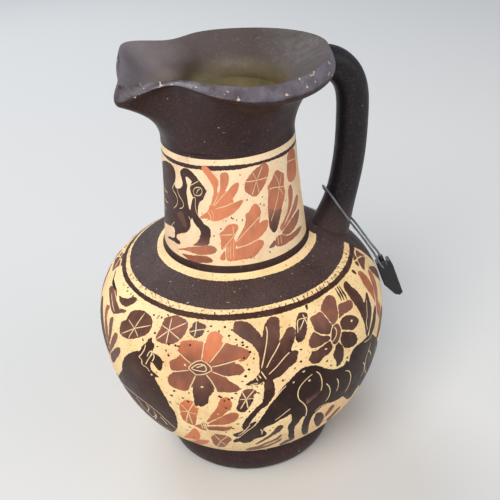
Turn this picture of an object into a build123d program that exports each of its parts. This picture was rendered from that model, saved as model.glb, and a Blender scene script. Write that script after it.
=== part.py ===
from build123d import *
import math
import os

# A wheel-thrown wine jug: foot, belly, neck with a pinched mouth, pulled handle, and a hanging seal on a
# plastic cord. Millimetres. The origin is on the wheel axis at the resting plane, +Z is up, the handle is
# at +X and the spout points to -X.

# Foot: a low disc with a hollow under it
FOOT_R = 49.0
FOOT_BOTTOM_R = 48.0
FOOT_TOP_R = 46.4
FOOT_H = 15.5
FOOT_BULGE_Z = 7.0
FOOT_EDGE = 2.0
FOOT_RECESS_R = 37.0
FOOT_RECESS_DEPTH = 8.0
FOOT_RECESS_EDGE = 4.0

# Belly and shoulder, one thrown wall
BELLY_R = 78.0
BELLY_Z = 80.0
WALL = 4.6
FLOOR = 5.5
NECK_BASE_R = 37.4
NECK_BASE_Z = 130.5
# Share of the way out and up at which the curve passes below the belly, and three times above it
LOWER_BELLY_SHARE = (0.71, 0.42)
SHOULDER_SHARES = ((0.86, 0.53), (0.52, 0.775), (0.115, 0.905))
# Directions in which the wall leaves the foot, leaves the floor inside, and reaches the neck
FROM_FOOT_DIRECTION = (0.75, 0, 0.66)
FROM_FLOOR_DIRECTION = (0.9, 0, 0.35)
TO_NECK_DIRECTION = (-0.25, 0, 0.97)
# Stations along the outer line at which the inner line is set in, and how many walls the floor's corner is
INNER_STATIONS = (0.06, 0.2, 0.35, 0.5, 0.64, 0.78, 0.9)
FLOOR_CORNER_RATIO = 2.2

# Neck and mouth, one thrown piece pinched while wet
NECK_WALL = 4.6
NECK_WAIST_R = 32.9
NECK_WAIST_Z = 184.0
LIP_Z = 221.8
RIM_R = 52.5
RIM_SIDE_R = 49.6
RIM_FRONT_R = 48.0
PINCH_R = 42.0
SPOUT_CORNER_R = 54.2
SPOUT_TIP_R = 48.8
SPOUT_TURN = -9.0
SPOUT_DROP = 7.5
LIP_WIDTH = 9.0
LIP_THICK = 6.2
# Angles from the handle round to the spout
RIM_ANGLES = (0, 36, 72, 104, 133, 150, 180)
# How far the lip's ridge rises or dips at each angle, on the left side of the jug and on the right
RIM_WAVE = (0.4, 0.2, 0.0, 0.6, 1.8, 3.0, -2.6)
RIGHT_WAVE = (0.4, -0.8, -2.0, 0.2, -1.2, -2.2, -2.6)
# How far the lip's lower edge rises or droops at each angle, and how far the ridge is set in from the edge
LIP_FOLD = (-2.0, -3.5, -4.0, 3.4, 3.2, -5.0, -4.5)
RIDGE_IN = (2.6, 2.6, 2.2, 5.4, 4.5, 3.0, 2.6)
SPOUT_SHARE = (0.0, 0.0, 0.0, 0.1, 0.45, 1.0, 1.0)

# Handle, a pulled rod luted to the lip and the shoulder
HANDLE_R = 8.2
HANDLE_UNDER_LIP = 10.4
HANDLE_INSET = 13.5
HANDLE_OUT = 12.9
HANDLE_ROOT_LENGTH = 14.0
HANDLE_ROOT_WIDTH = 10.6
# Where the root lies on the shoulder, as shares of the way out and up, and where it starts along the handle
ROOT_OUT_SHARE = 0.433
ROOT_UP_SHARE = 0.68
ROOT_START_SHARE = 0.72

# Hanging seal: a moulded snap seal, its plug, and the plastic cord that loops round the handle
CORD_D = 1.2
SEAL_AZIMUTH = -10.0
SEAL_LEAN = 19.0
SEAL_TOP_Z = 101.6
SEAL_GAP = 0.6
SEAL_LENGTH = 26.5
SEAL_WIDTH = 8.4
SEAL_THICK = 5.0
SEAL_EDGE = 0.6
NOTCH_WIDTH = 0.9
NOTCH_DEPTH = 3.0
NOTCH_X = 1.2
PRONG_DROP = 0.8
PLUG_X = -0.7
PLUG_D = 1.6
PLUG_DEPTH = 4.0
PLUG_COLLAR_D = 2.9
PLUG_COLLAR_H = 2.8
SOCKET_X = -1.0
SOCKET_DOWN = 5.6
SOCKET_DEPTH = 1.5
CLEARANCE = 0.1
# The cord leaves its socket leaning to the belly's side and forward, this far across, up and out
CORD_LEAD = (-1.3, 4.2, 2.9)
CORD_PLUG_LEAD = 2.4
# The cord's points between the seal's socket and its plug: up one side of the handle, round its inner
# side and down the other
CORD_ROUTE = (
    (73.0, -16.0, 107.6),
    (69.6, -14.6, 113.2),
    (65.6, -13.3, 119.9),
    (59.4, -12.0, 129.2),
    (55.0, -10.0, 136.7),
    (51.7, -6.6, 142.6),
    (50.4, -2.8, 145.0),
    (50.4, 2.8, 145.0),
    (51.7, 6.6, 142.6),
    (55.2, 10.0, 136.5),
    (61.2, 10.0, 128.4),
    (67.9, 3.4, 120.8),
    (71.4, -3.0, 114.8),
    (74.4, -8.6, 109.2),
)
CORD_BEND_SHARE = 0.45


def between(a, b, share):
    """The value that lies the given share of the way from a to b."""
    return a + (b - a) * share


def on_axis(r, z):
    """A point of a turned profile, r out from the wheel axis."""
    return Vector(r, 0, z)


def belly_curve():
    """The outer line of belly and shoulder, from the foot to the neck."""
    low_r, low_z = LOWER_BELLY_SHARE
    points = [on_axis(FOOT_TOP_R, FOOT_H)]
    points.append(on_axis(between(FOOT_TOP_R, BELLY_R, low_r), between(FOOT_H, BELLY_Z, low_z)))
    points.append(on_axis(BELLY_R, BELLY_Z))
    for out, up in SHOULDER_SHARES:
        points.append(on_axis(between(NECK_BASE_R, BELLY_R, out), between(BELLY_Z, NECK_BASE_Z, up)))
    points.append(on_axis(NECK_BASE_R, NECK_BASE_Z))
    return Spline(*points, tangents=[FROM_FOOT_DIRECTION, TO_NECK_DIRECTION])


def turned(*edges):
    """A solid turned about the wheel axis from a closed profile."""
    return revolve(make_face(Curve() + list(edges)), Axis.Z)


def make_foot():
    """A disc with a rounded edge and a hollow under it."""
    low = on_axis(FOOT_BOTTOM_R, FOOT_EDGE)
    top = on_axis(FOOT_TOP_R, FOOT_H)
    side = ThreePointArc(low, on_axis(FOOT_R, FOOT_BULGE_Z), top)
    rim = Polyline(
        top,
        on_axis(0, FOOT_H),
        on_axis(0, FOOT_RECESS_DEPTH),
        on_axis(FOOT_RECESS_R - FOOT_RECESS_EDGE, FOOT_RECESS_DEPTH),
        on_axis(FOOT_RECESS_R, 0),
        on_axis(FOOT_BOTTOM_R - FOOT_EDGE, 0),
        low,
    )
    return turned(side, rim)


def make_body():
    """Belly and shoulder as a hollow wall, open at the neck and flat where it stands on the foot."""
    outer = belly_curve()
    inner_points = [on_axis(FOOT_TOP_R - FLOOR_CORNER_RATIO * WALL, FOOT_H + FLOOR)]
    for station in INNER_STATIONS:
        along = outer % station
        inward = Vector(-along.Z, 0, along.X)
        inner_points.append(outer @ station + inward * WALL)
    inner_points.append(on_axis(NECK_BASE_R - NECK_WALL, NECK_BASE_Z))
    inner = Spline(*inner_points, tangents=[FROM_FLOOR_DIRECTION, TO_NECK_DIRECTION])
    top = Line(outer @ 1, inner @ 1)
    bottom = Polyline(inner @ 0, on_axis(0, FOOT_H + FLOOR), on_axis(0, FOOT_H), outer @ 0)
    return turned(outer, top, inner, bottom)


def rim_radii():
    """Radius of the lip's outer edge at each angle: round at the back, pinched, then out to the spout."""
    return (RIM_R, RIM_R, RIM_SIDE_R, RIM_FRONT_R, PINCH_R, SPOUT_CORNER_R, SPOUT_TIP_R)


def neck_ring(z, radius, blend=0.0, set_in=0.0, ridge=0.0, drop=0.0, wave=0.0, fold=0.0):
    """One closed line round the neck: a circle where blend is 0, the lip's outline set in where it is 1."""
    left, right = [], []
    rows = zip(RIM_ANGLES, rim_radii(), SPOUT_SHARE, RIDGE_IN, LIP_FOLD, RIM_WAVE, RIGHT_WAVE)
    for angle, rim, spout, ridge_in, bend, rise, right_rise in rows:
        r = between(radius, rim - set_in - ridge * ridge_in, blend)
        level = z + fold * bend - drop * SPOUT_DROP * spout
        left.append((math.radians(angle), r, level + wave * rise))
        right.append((math.radians(-angle), r, level + wave * right_rise))
    points = [(r * math.cos(a), r * math.sin(a), level) for a, r, level in left + right[-2:0:-1]]
    return Wire([Edge.make_spline(points, periodic=True)])


def neck_skins():
    """The neck's lines in groups: wall, flare, lip, mouth and bore, each starting where the last ends."""
    flare = LIP_Z - NECK_WAIST_Z
    inside = NECK_WAIST_R - NECK_WALL
    edge_z = LIP_Z - 0.85 * LIP_THICK
    under_z = edge_z - 0.4 * LIP_THICK
    middle_r = between(NECK_BASE_R, NECK_WAIST_R, 0.62)
    middle_z = between(NECK_BASE_Z, NECK_WAIST_Z, 0.5)
    base = neck_ring(NECK_BASE_Z, NECK_BASE_R)
    waist = neck_ring(NECK_WAIST_Z, NECK_WAIST_R)
    lip_edge = neck_ring(edge_z, RIM_R, 1, 0.12 * LIP_WIDTH, fold=1)
    ridge = neck_ring(LIP_Z + 0.18 * LIP_THICK, RIM_R, 1, ridge=1, wave=1)
    throat = neck_ring(NECK_WAIST_Z + 0.5 * flare, inside + 0.02 * NECK_WAIST_R)
    bore_end = neck_ring(NECK_BASE_Z, NECK_BASE_R - NECK_WALL)
    wall = [base, neck_ring(middle_z, middle_r), waist]
    bell = [
        waist,
        neck_ring(NECK_WAIST_Z + 0.3 * flare, 1.025 * NECK_WAIST_R, 0.08, LIP_WIDTH, drop=0.1),
        neck_ring(NECK_WAIST_Z + 0.54 * flare, 1.09 * NECK_WAIST_R, 0.27, 0.8 * LIP_WIDTH, 0, 0.2, 0, 0.3),
        neck_ring(under_z, 1.18 * NECK_WAIST_R, 0.8, 0.55 * LIP_WIDTH, drop=0.15, fold=0.95),
        lip_edge,
    ]
    lip = [
        lip_edge,
        neck_ring(edge_z + 0.22 * LIP_THICK, RIM_R, 1, wave=0.3, fold=0.8),
        neck_ring(LIP_Z - 0.22 * LIP_THICK, RIM_R, 1, ridge=0.4, wave=0.8, fold=0.25),
        ridge,
    ]
    mouth = [
        ridge,
        neck_ring(LIP_Z - 0.1 * LIP_THICK, RIM_R, 1, 0.35 * LIP_WIDTH, 1, 0.1, 0.95),
        neck_ring(LIP_Z - 0.75 * LIP_THICK, 1.3 * inside, 0.85, 1.05 * LIP_WIDTH, 1, 0.45, 0.7),
        neck_ring(LIP_Z - 1.7 * LIP_THICK, 1.07 * inside, 0.35, 2 * LIP_WIDTH, 0, 0.3, 0.3),
        throat,
    ]
    bore = [throat, neck_ring(middle_z, middle_r - NECK_WALL), bore_end]
    return wall, bell, lip, mouth, bore


def make_neck():
    """Neck and mouth as one skin over the lip, closed by the flat ring that stands on the shoulder."""
    groups = neck_skins()
    faces = [Face(groups[0][0], [groups[-1][-1]])]
    for group in groups:
        faces.extend(Shell.make_loft(group).faces())
    return Solid(Shell(faces)).rotate(Axis.Z, SPOUT_TURN)


def rod_section(path, share, wide, deep):
    """The handle's oval section at a share of its length, with its outer side in line with the rod's."""
    along = path % share
    outward = Vector(-along.Z, 0, along.X)
    middle = path @ share - outward * (deep - HANDLE_R)
    return Plane(origin=middle, x_dir=(0, 1, 0), z_dir=along) * Ellipse(wide, deep)


def largest(shape):
    """The biggest solid of a cut shape."""
    return shape.solids().sort_by(SortBy.VOLUME)[-1]


def make_handle(body, neck):
    """A round rod that rises from the lip, bends over and spreads where it meets the shoulder."""
    top_z = LIP_Z - HANDLE_UNDER_LIP
    reach = RIM_R + HANDLE_OUT
    root_r = between(NECK_BASE_R, BELLY_R, ROOT_OUT_SHARE)
    root = on_axis(root_r, between(BELLY_Z, NECK_BASE_Z, ROOT_UP_SHARE))
    reach_z = between(root.Z, top_z, 0.718)
    path = Spline(
        on_axis(RIM_R - HANDLE_INSET, top_z - 0.37 * HANDLE_R),
        on_axis(RIM_R + 0.155 * HANDLE_OUT, top_z),
        on_axis(RIM_R + 0.72 * HANDLE_OUT, between(top_z, reach_z, 0.24)),
        on_axis(reach, reach_z),
        on_axis(between(reach, root.X, 0.2), between(reach_z, root.Z, 0.38)),
        on_axis(between(reach, root.X, 0.54), between(reach_z, root.Z, 0.63)),
        root,
    )
    rod = sweep(rod_section(path, 0, HANDLE_R, HANDLE_R), path.edge().trim(0, path @ ROOT_START_SHARE))
    root_sections = []
    for share, spread in ((ROOT_START_SHARE, 0), (between(ROOT_START_SHARE, 1, 0.5), 0.22), (1, 1)):
        wide = between(HANDLE_R, HANDLE_ROOT_WIDTH, spread)
        deep = between(HANDLE_R, HANDLE_ROOT_LENGTH, spread)
        root_sections.append(rod_section(path, share, wide, deep))
    return largest(rod - neck) + largest(loft(root_sections) - body)


def belly_radius(z):
    """How far out the belly's skin is at a height."""
    curve = belly_curve()
    low, high = 0.0, 1.0
    while high - low > 1e-6:
        middle = (low + high) / 2
        if (curve @ middle).Z < z:
            low = middle
        else:
            high = middle
    return (curve @ low).X


def seal_plane():
    """The seal's own plane: x out from the belly, y up along the seal, z across its thickness."""
    azimuth = math.radians(SEAL_AZIMUTH)
    lean = math.radians(SEAL_LEAN)
    radial = Vector(math.cos(azimuth), math.sin(azimuth), 0)
    up = Vector(0, 0, 1) * math.cos(lean) - radial * math.sin(lean)
    out = radial * math.cos(lean) + Vector(0, 0, 1) * math.sin(lean)
    edge_z = SEAL_TOP_Z - 0.5 * SEAL_WIDTH * math.sin(lean)
    edge_r = belly_radius(edge_z) + SEAL_GAP + 0.2 * SEAL_EDGE
    stand = edge_r + 0.5 * SEAL_WIDTH * math.cos(lean)
    return Plane(origin=radial * stand + Vector(0, 0, SEAL_TOP_Z), x_dir=out, z_dir=out.cross(up))


def cord_socket():
    """The cord's end in the seal's front face, and its first point outside, in the seal's own plane."""
    end = Vector(SOCKET_X, -SOCKET_DOWN, SEAL_THICK / 2 - SOCKET_DEPTH)
    return end, end + Vector(*CORD_LEAD)


def make_seal_body():
    """A flat moulding with a notched top, slanted to a blunt tip, bored for the plug and the cord's end."""
    half = SEAL_WIDTH / 2
    notch_left = NOTCH_X - NOTCH_WIDTH / 2
    notch_right = NOTCH_X + NOTCH_WIDTH / 2
    outline = Polyline(
        (-half, 0),
        (notch_left, 0),
        (notch_left, -NOTCH_DEPTH),
        (notch_right, -NOTCH_DEPTH),
        (notch_right, -PRONG_DROP),
        (0.84 * half, -PRONG_DROP),
        (half, -0.2 * SEAL_LENGTH),
        (half, 0.3 * half - SEAL_LENGTH),
        (0.5 * half, -SEAL_LENGTH),
        (-0.1 * half, -0.93 * SEAL_LENGTH),
        (-half, -0.6 * SEAL_LENGTH),
        close=True,
    )
    block = extrude(make_face(outline), SEAL_THICK / 2, both=True)
    broad = block.faces().sort_by(Axis.Z)
    block = fillet(broad[0].edges() + broad[-1].edges(), SEAL_EDGE)
    from_base = (Align.CENTER, Align.CENTER, Align.MIN)
    bore = Cylinder(PLUG_D / 2 + CLEARANCE, PLUG_DEPTH + CLEARANCE, align=from_base)
    end, out = cord_socket()
    socket = Cylinder(CORD_D / 2 + CLEARANCE, (out - end).length, align=from_base)
    block -= Plane(origin=(PLUG_X, 0, 0), z_dir=(0, -1, 0)) * bore
    block -= Plane(origin=end, z_dir=out - end) * socket
    return seal_plane() * block


def make_seal_plug():
    """The cord's snap plug: a collar on the prong and a pin in its bore."""
    stem = PLUG_D / 2
    profile = Polyline(
        (0, PLUG_COLLAR_H),
        (PLUG_COLLAR_D / 2, PLUG_COLLAR_H),
        (PLUG_COLLAR_D / 2, 0),
        (stem, 0),
        (stem, -0.75 * PLUG_DEPTH),
        (0.35 * stem, -PLUG_DEPTH),
        (0, -PLUG_DEPTH),
        close=True,
    )
    plug = revolve(make_face(profile), Axis.Y)
    return seal_plane() * (Pos(PLUG_X, 0, 0) * plug)


def cord_points():
    """The cord's whole route: out of its socket, round the handle and back to the plug."""
    at = seal_plane()
    start = [at.from_local_coords(point) for point in cord_socket()]
    end = [at.from_local_coords((PLUG_X, PLUG_COLLAR_H + lead, 0)) for lead in (CORD_PLUG_LEAD, 0)]
    return start + [Vector(*point) for point in CORD_ROUTE] + end


def make_seal_cord():
    """A round cord along its route, each corner bent as widely as its two runs allow."""
    points = cord_points()
    radii = []
    for before, corner, after in zip(points, points[1:], points[2:]):
        turn = (corner - before).get_angle(after - corner)
        shorter = min((corner - before).length, (after - corner).length)
        radii.append(CORD_BEND_SHARE * shorter / math.tan(math.radians(turn) / 2))
    path = FilletPolyline(*points, radius=radii)
    section = Plane(origin=path @ 0, z_dir=path % 0) * Circle(CORD_D / 2)
    cord = sweep(section, path)
    share = cord.volume / (math.pi * CORD_D**2 / 4 * path.length)
    print("cord length", round(path.length, 1), "volume over section times length", round(share, 4))
    print("cord bend radii", [round(radius, 1) for radius in radii])
    return cord


PARTS = {}
PARTS["foot"] = make_foot()
PARTS["body"] = make_body()
PARTS["neck"] = make_neck()
PARTS["handle"] = make_handle(PARTS["body"], PARTS["neck"])
PARTS["seal_body"] = make_seal_body()
PARTS["seal_plug"] = make_seal_plug()
PARTS["seal_cord"] = make_seal_cord()

os.makedirs("parts", exist_ok=True)
for name, part in PARTS.items():
    export_step(part, f"parts/{name}.step")
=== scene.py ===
"""The looks of the oinochoe jug: painted belly and neck, black slip, cord and seal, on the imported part."""
import math

import bmesh
import bpy
import numpy as np
from mathutils import Matrix, Vector
from mathutils.bvhtree import BVHTree
from mathutils.geometry import delaunay_2d_cdt


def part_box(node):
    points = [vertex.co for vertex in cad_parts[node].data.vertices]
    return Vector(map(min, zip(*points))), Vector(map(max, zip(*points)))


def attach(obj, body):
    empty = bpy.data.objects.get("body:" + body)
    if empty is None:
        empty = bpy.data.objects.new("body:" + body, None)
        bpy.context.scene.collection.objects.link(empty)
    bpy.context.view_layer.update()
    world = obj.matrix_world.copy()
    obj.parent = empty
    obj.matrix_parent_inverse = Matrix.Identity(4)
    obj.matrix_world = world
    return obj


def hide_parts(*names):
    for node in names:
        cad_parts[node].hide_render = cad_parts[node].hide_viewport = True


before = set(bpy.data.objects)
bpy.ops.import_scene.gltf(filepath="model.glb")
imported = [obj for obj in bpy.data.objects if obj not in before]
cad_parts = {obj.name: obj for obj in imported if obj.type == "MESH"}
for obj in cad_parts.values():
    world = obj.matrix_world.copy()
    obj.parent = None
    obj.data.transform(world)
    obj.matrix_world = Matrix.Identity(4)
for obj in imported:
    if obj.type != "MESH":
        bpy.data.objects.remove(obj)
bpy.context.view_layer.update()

MM = 0.001

# The camera, fitted to the jug's outline in the photograph.
EYE = Vector((-0.07124, -0.31390, 0.31237))
LOOK = Vector((0.20675, 0.82922, -0.51928))
RIGHT = Vector((0.95905, -0.27680, -0.06018))
UP = Vector((0.19364, 0.48557, 0.85248))
SENSOR = 36.0
LENS = 50.40
CLIP_START = 0.01
PHOTO_SIDE = 500


def make_camera():
    """The photograph's view."""
    data = bpy.data.cameras.new("camera")
    data.sensor_width = SENSOR
    data.lens = LENS
    data.clip_start = CLIP_START
    camera = bpy.data.objects.new("camera", data)
    camera.matrix_world = Matrix((
        (RIGHT.x, UP.x, -LOOK.x, EYE.x),
        (RIGHT.y, UP.y, -LOOK.y, EYE.y),
        (RIGHT.z, UP.z, -LOOK.z, EYE.z),
        (0, 0, 0, 1),
    ))
    bpy.context.scene.collection.objects.link(camera)
    bpy.context.scene.camera = camera


make_camera()

# The cord of the seal: its route as in the part, in metres.
CORD_D = 0.0012
CORD_ORDER = 3
CORD_STEPS = 14
CORD_ROUNDING = 5
CORD_ROUTE = (
    (0.079602, -0.015051, 0.095980), (0.076541, -0.017456, 0.099527), (0.0730, -0.0160, 0.1076),
    (0.0696, -0.0146, 0.1132), (0.0656, -0.0133, 0.1199), (0.0594, -0.0120, 0.1292),
    (0.0550, -0.0100, 0.1367), (0.0517, -0.0066, 0.1426), (0.0504, -0.0028, 0.1450),
    (0.0504, 0.0028, 0.1450), (0.0517, 0.0066, 0.1426), (0.0552, 0.0100, 0.1365),
    (0.0612, 0.0100, 0.1284), (0.0679, 0.0034, 0.1208), (0.0714, -0.0030, 0.1148),
    (0.0744, -0.0086, 0.1092), (0.076592, -0.013505, 0.106289), (0.077361, -0.013641, 0.104020),
)


def make_cord():
    """The seal's cord as one smooth spline on the route's points."""
    data = bpy.data.curves.new("cord_loop", "CURVE")
    data.dimensions = "3D"
    data.bevel_depth = 1.0
    data.bevel_resolution = CORD_ROUNDING
    data.use_fill_caps = True
    data.resolution_u = CORD_STEPS
    spline = data.splines.new("NURBS")
    spline.points.add(len(CORD_ROUTE) - 1)
    for point, place in zip(spline.points, CORD_ROUTE):
        point.co = (*place, 1)
        point.radius = CORD_D / 2
    spline.order_u = CORD_ORDER
    spline.use_endpoint_u = True
    cord = bpy.data.objects.new("cord_loop", data)
    bpy.context.scene.collection.objects.link(cord)
    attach(cord, "tag")
    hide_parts("seal_cord")
    return cord


cord_loop = make_cord()


def pairs(*values):
    """Points from plain numbers, two by two."""
    return list(zip(values[0::2], values[1::2]))


def rays(name, hub, ends):
    """Straight lines from a hub to each of the ends, counted from one."""
    return {f"{name}_{i}": [hub, end] for i, end in enumerate(ends, 1)}


def ring_of(shape):
    """The outline of a painted shape as a closed line."""
    _, _, points = shape
    return points + points[:1]


# Tones of the slip, from fired black to thin orange.
BLACK = 0.0
LINE = 0.1
DARK = 0.2
SOOT = 0.3
UMBER = 0.42
BROWN = 0.56
RUST = 0.66
RED = 0.76
SALMON = 0.86
ORANGE = 0.95

# Painted shapes by name: tone at the top, tone at the foot, and the outline as photo points.
NECK_SHAPES = {
    "bird": (BLACK, BLACK, pairs(
        163.6, 160.5, 168, 161.8, 172, 165, 174.6, 169.5, 175.6, 175, 175.2, 180, 174.5, 184, 176, 188,
        178, 188.5, 181.5, 187, 182.6, 183.5, 181.5, 178.5, 180.4, 174, 180.3, 171, 182, 168.8, 185.5, 168.2,
        190, 170, 195, 175.3, 199, 180.5, 203, 185.5, 206.2, 191.3, 205, 195, 203, 199.5, 200.3, 201.5,
        198.6, 205.5, 197.9, 210, 198.6, 216, 201.5, 220, 204, 224, 207.5, 225.8, 210, 229, 210.8, 233.5,
        209.8, 239, 207.5, 245, 193, 245.5, 197, 242.5, 200, 238, 200.6, 232.5, 199, 228.5, 195.5, 225,
        193, 220.5, 192.2, 218, 190.5, 221.5, 190.6, 225, 189.5, 229, 187, 232.2, 183, 233.8, 179.5, 234,
        177, 234.8, 176.6, 237.5, 178, 239.3, 180.3, 242, 179.6, 244.3, 177, 243.5, 173.5, 241, 169.5, 239,
        168, 236.8, 170, 236.3, 174.5, 237.5, 174.8, 233, 174.6, 229, 172, 226, 168, 224.5, 163, 222,
        157, 212, 155, 190, 158, 168)),
    "bird_tail": (LINE, RUST, pairs(
        210.6, 235, 209.8, 239, 207.5, 245, 193, 245.5, 197, 242.5, 199.6, 238.4, 200.4, 235)),
    "bird_flank": (UMBER, SOOT, pairs(
        177, 214, 179, 211.5, 182.5, 212.5, 185, 219, 187, 226, 184, 227, 180.5, 220.5)),
    "frond_1": (ORANGE, ORANGE, pairs(
        201.5, 167, 204, 165.5, 208, 168, 212.5, 173, 216.5, 178, 218.5, 183, 217.5, 190, 216, 197,
        213.5, 204, 211, 205, 212.5, 198, 213.5, 190, 210.5, 182, 206.5, 176, 203, 171.5)),
    "frond_2": (SALMON, ORANGE, pairs(
        219.8, 189, 220, 180, 220.5, 174.5, 223.5, 172.2, 227, 173, 228.8, 177, 228.5, 183, 226, 189,
        221, 196, 215.5, 204.5, 214, 205.5, 217, 199)),
    "frond_3": (SALMON, ORANGE, pairs(
        214.5, 206.5, 221, 198.5, 228, 190.5, 233, 184.5, 236.5, 182.8, 239, 183.8, 238, 190, 234.5, 196,
        230, 201.5, 224, 206, 217, 209)),
    "frond_4": (SALMON, ORANGE, pairs(
        216, 210, 224, 208, 231, 205, 238, 200.8, 242, 200, 243.2, 201.5, 240, 207, 235, 212, 229, 216.5,
        222, 219.5, 215, 220.5)),
    "frond_web": (ORANGE, ORANGE, pairs(
        211, 206, 213.8, 200, 216.5, 194.5, 219.5, 190.5, 223.5, 191.5, 227.5, 191.5, 230.5, 193.5,
        232.5, 198.5, 233.8, 203.5, 230, 207.5, 223, 212, 215, 214)),
    "frond_base": (ORANGE, ORANGE, pairs(
        210, 205, 213, 206, 216, 209.5, 216.5, 220.5, 213, 221, 209, 220, 206, 222, 208, 218.5, 201, 218.8,
        200.5, 216.5, 205, 213.5, 208, 210.5)),
    "disc": (RED, RED, pairs(
        244.8, 184, 246.5, 179.5, 250.5, 174.5, 254.5, 169.5, 260, 165.5, 264.5, 162.2, 267.5, 164.5,
        268.8, 169.5, 268, 176, 265.5, 183, 262, 189, 259, 194, 256, 196.3, 252.5, 196.2, 247.5, 193.5,
        244.8, 190)),
    "long_leaf": (RED, RED, pairs(
        267.5, 187, 269, 184, 272, 179.5, 274, 173, 277, 170, 280, 171.5, 283.5, 173, 284, 178, 284, 186,
        285, 191, 284, 199, 282, 207, 280.5, 215, 279, 222, 277.5, 228, 275.5, 231.5, 273, 232.3, 270, 228,
        269, 222.5, 268, 212, 268, 200, 268.3, 193)),
    "long_leaf_tip": (RED, DARK, pairs(
        268.1, 206, 272, 209, 276, 210, 281.6, 208.5, 280.5, 215, 279, 222, 277.5, 228, 275.5, 231.5,
        273, 232.3, 270, 228, 269, 222.5, 268.4, 214)),
    "petal_1": (SALMON, SALMON, pairs(
        235.8, 242.6, 240.6, 233, 244.4, 226.4, 245.5, 219.8, 245.5, 214.5, 248.7, 212.1, 251, 207.4,
        253.9, 204.2, 257.2, 204.2, 259.6, 207.4, 260.9, 212.1, 260.1, 217.9, 259.6, 223.1, 263.9, 220.2,
        267.7, 220, 268.2, 223.6, 267.2, 228.3, 263.9, 233.1, 258.7, 238.3, 253, 241.7, 245.3, 245,
        237.7, 246.9)),
    "petal_3": (SALMON, SALMON, pairs(
        237.7, 248.3, 248.2, 245, 256.8, 240.7, 261.5, 239.8, 263.9, 241.7, 263, 246.4, 259.6, 251.2,
        254.9, 256, 248.2, 258.8, 240.6, 259.8, 232.5, 260.2, 233.9, 252.1)),
    "petal_rayed": (SALMON, SALMON, pairs(
        219.5, 233.5, 223, 230.5, 227, 226, 231, 224, 236, 224, 238.5, 227.5, 236.5, 233, 232.5, 240,
        227, 246, 222, 250, 221, 243, 220.5, 238)),
    "petal_small": (SALMON, SALMON, pairs(225, 251, 221.5, 255, 219.8, 258.5, 222, 260, 225.5, 259.5)),
    "petal_stem": (ORANGE, ORANGE, pairs(227, 245, 233.5, 238, 236, 247, 235, 259.5, 227, 260)),
    "low_leaf_1": (RED, RED, pairs(
        177, 249, 184, 248, 191, 247, 199, 246.3, 207, 245.6, 213, 246.2, 216.8, 248.8, 216, 252, 212, 254.3,
        205, 255, 198, 254.5, 191, 252.5, 186, 250.3)),
    "low_leaf_2": (RUST, RUST, pairs(
        182, 253.5, 188, 254.5, 193, 255.5, 199, 255.2, 205, 256, 209, 257.2, 212.8, 259.8, 212, 262,
        208, 263, 200, 262.8, 193, 262, 187, 258.5)),
    "far_leaf": (RED, SALMON, pairs(
        289.8, 150, 292.3, 147.8, 294.5, 151.5, 295.2, 159, 296, 167, 295.8, 174, 294.5, 179, 292, 181.5,
        289, 181.8, 287.3, 178, 286.8, 171, 287, 164, 287.3, 156)),
    "far_frond_1": (RED, RED, pairs(
        288, 190, 290, 184.5, 291.8, 187, 292.8, 194, 292, 202, 290, 210, 286.5, 219, 281, 229.5, 280.3, 226,
        285, 217.5, 287.8, 209, 288.5, 200)),
    "far_frond_2": (RED, RED, pairs(
        296.5, 194.5, 298, 197, 297, 206, 293.5, 214, 288, 223, 282, 231, 281.5, 229, 288, 218, 292, 208,
        294.5, 200)),
    "far_frond_3": (RUST, RUST, pairs(
        282.5, 231.7, 288.2, 223.6, 293, 216.9, 296.8, 211, 299, 209, 298.8, 216, 297.5, 222, 294.5, 228,
        290, 233.5, 286, 234.8, 283, 234)),
    "far_frond_4": (RUST, RUST, pairs(
        301.3, 225.5, 300, 231, 295, 237, 289, 242, 283, 245.5, 275.5, 245.5, 276, 238, 281, 234.5,
        287, 235.5, 293, 232.5, 298, 228)),
    "far_base": (BROWN, BROWN, pairs(269, 247.5, 271.5, 243.5, 275, 240.5, 275, 246, 271.5, 248)),
}
# Cream that shows inside a figure, by name, as photo points.
NECK_HOLES = {
    "bird_gap": pairs(
        185.7, 177, 188, 177.5, 191.5, 181.5, 190.8, 184, 190, 188, 191, 193, 193, 197.5, 192.2, 200,
        191, 206, 190.2, 210, 188.5, 206, 187.5, 199, 186.6, 192, 187.2, 186.5, 186.2, 181),
}
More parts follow.
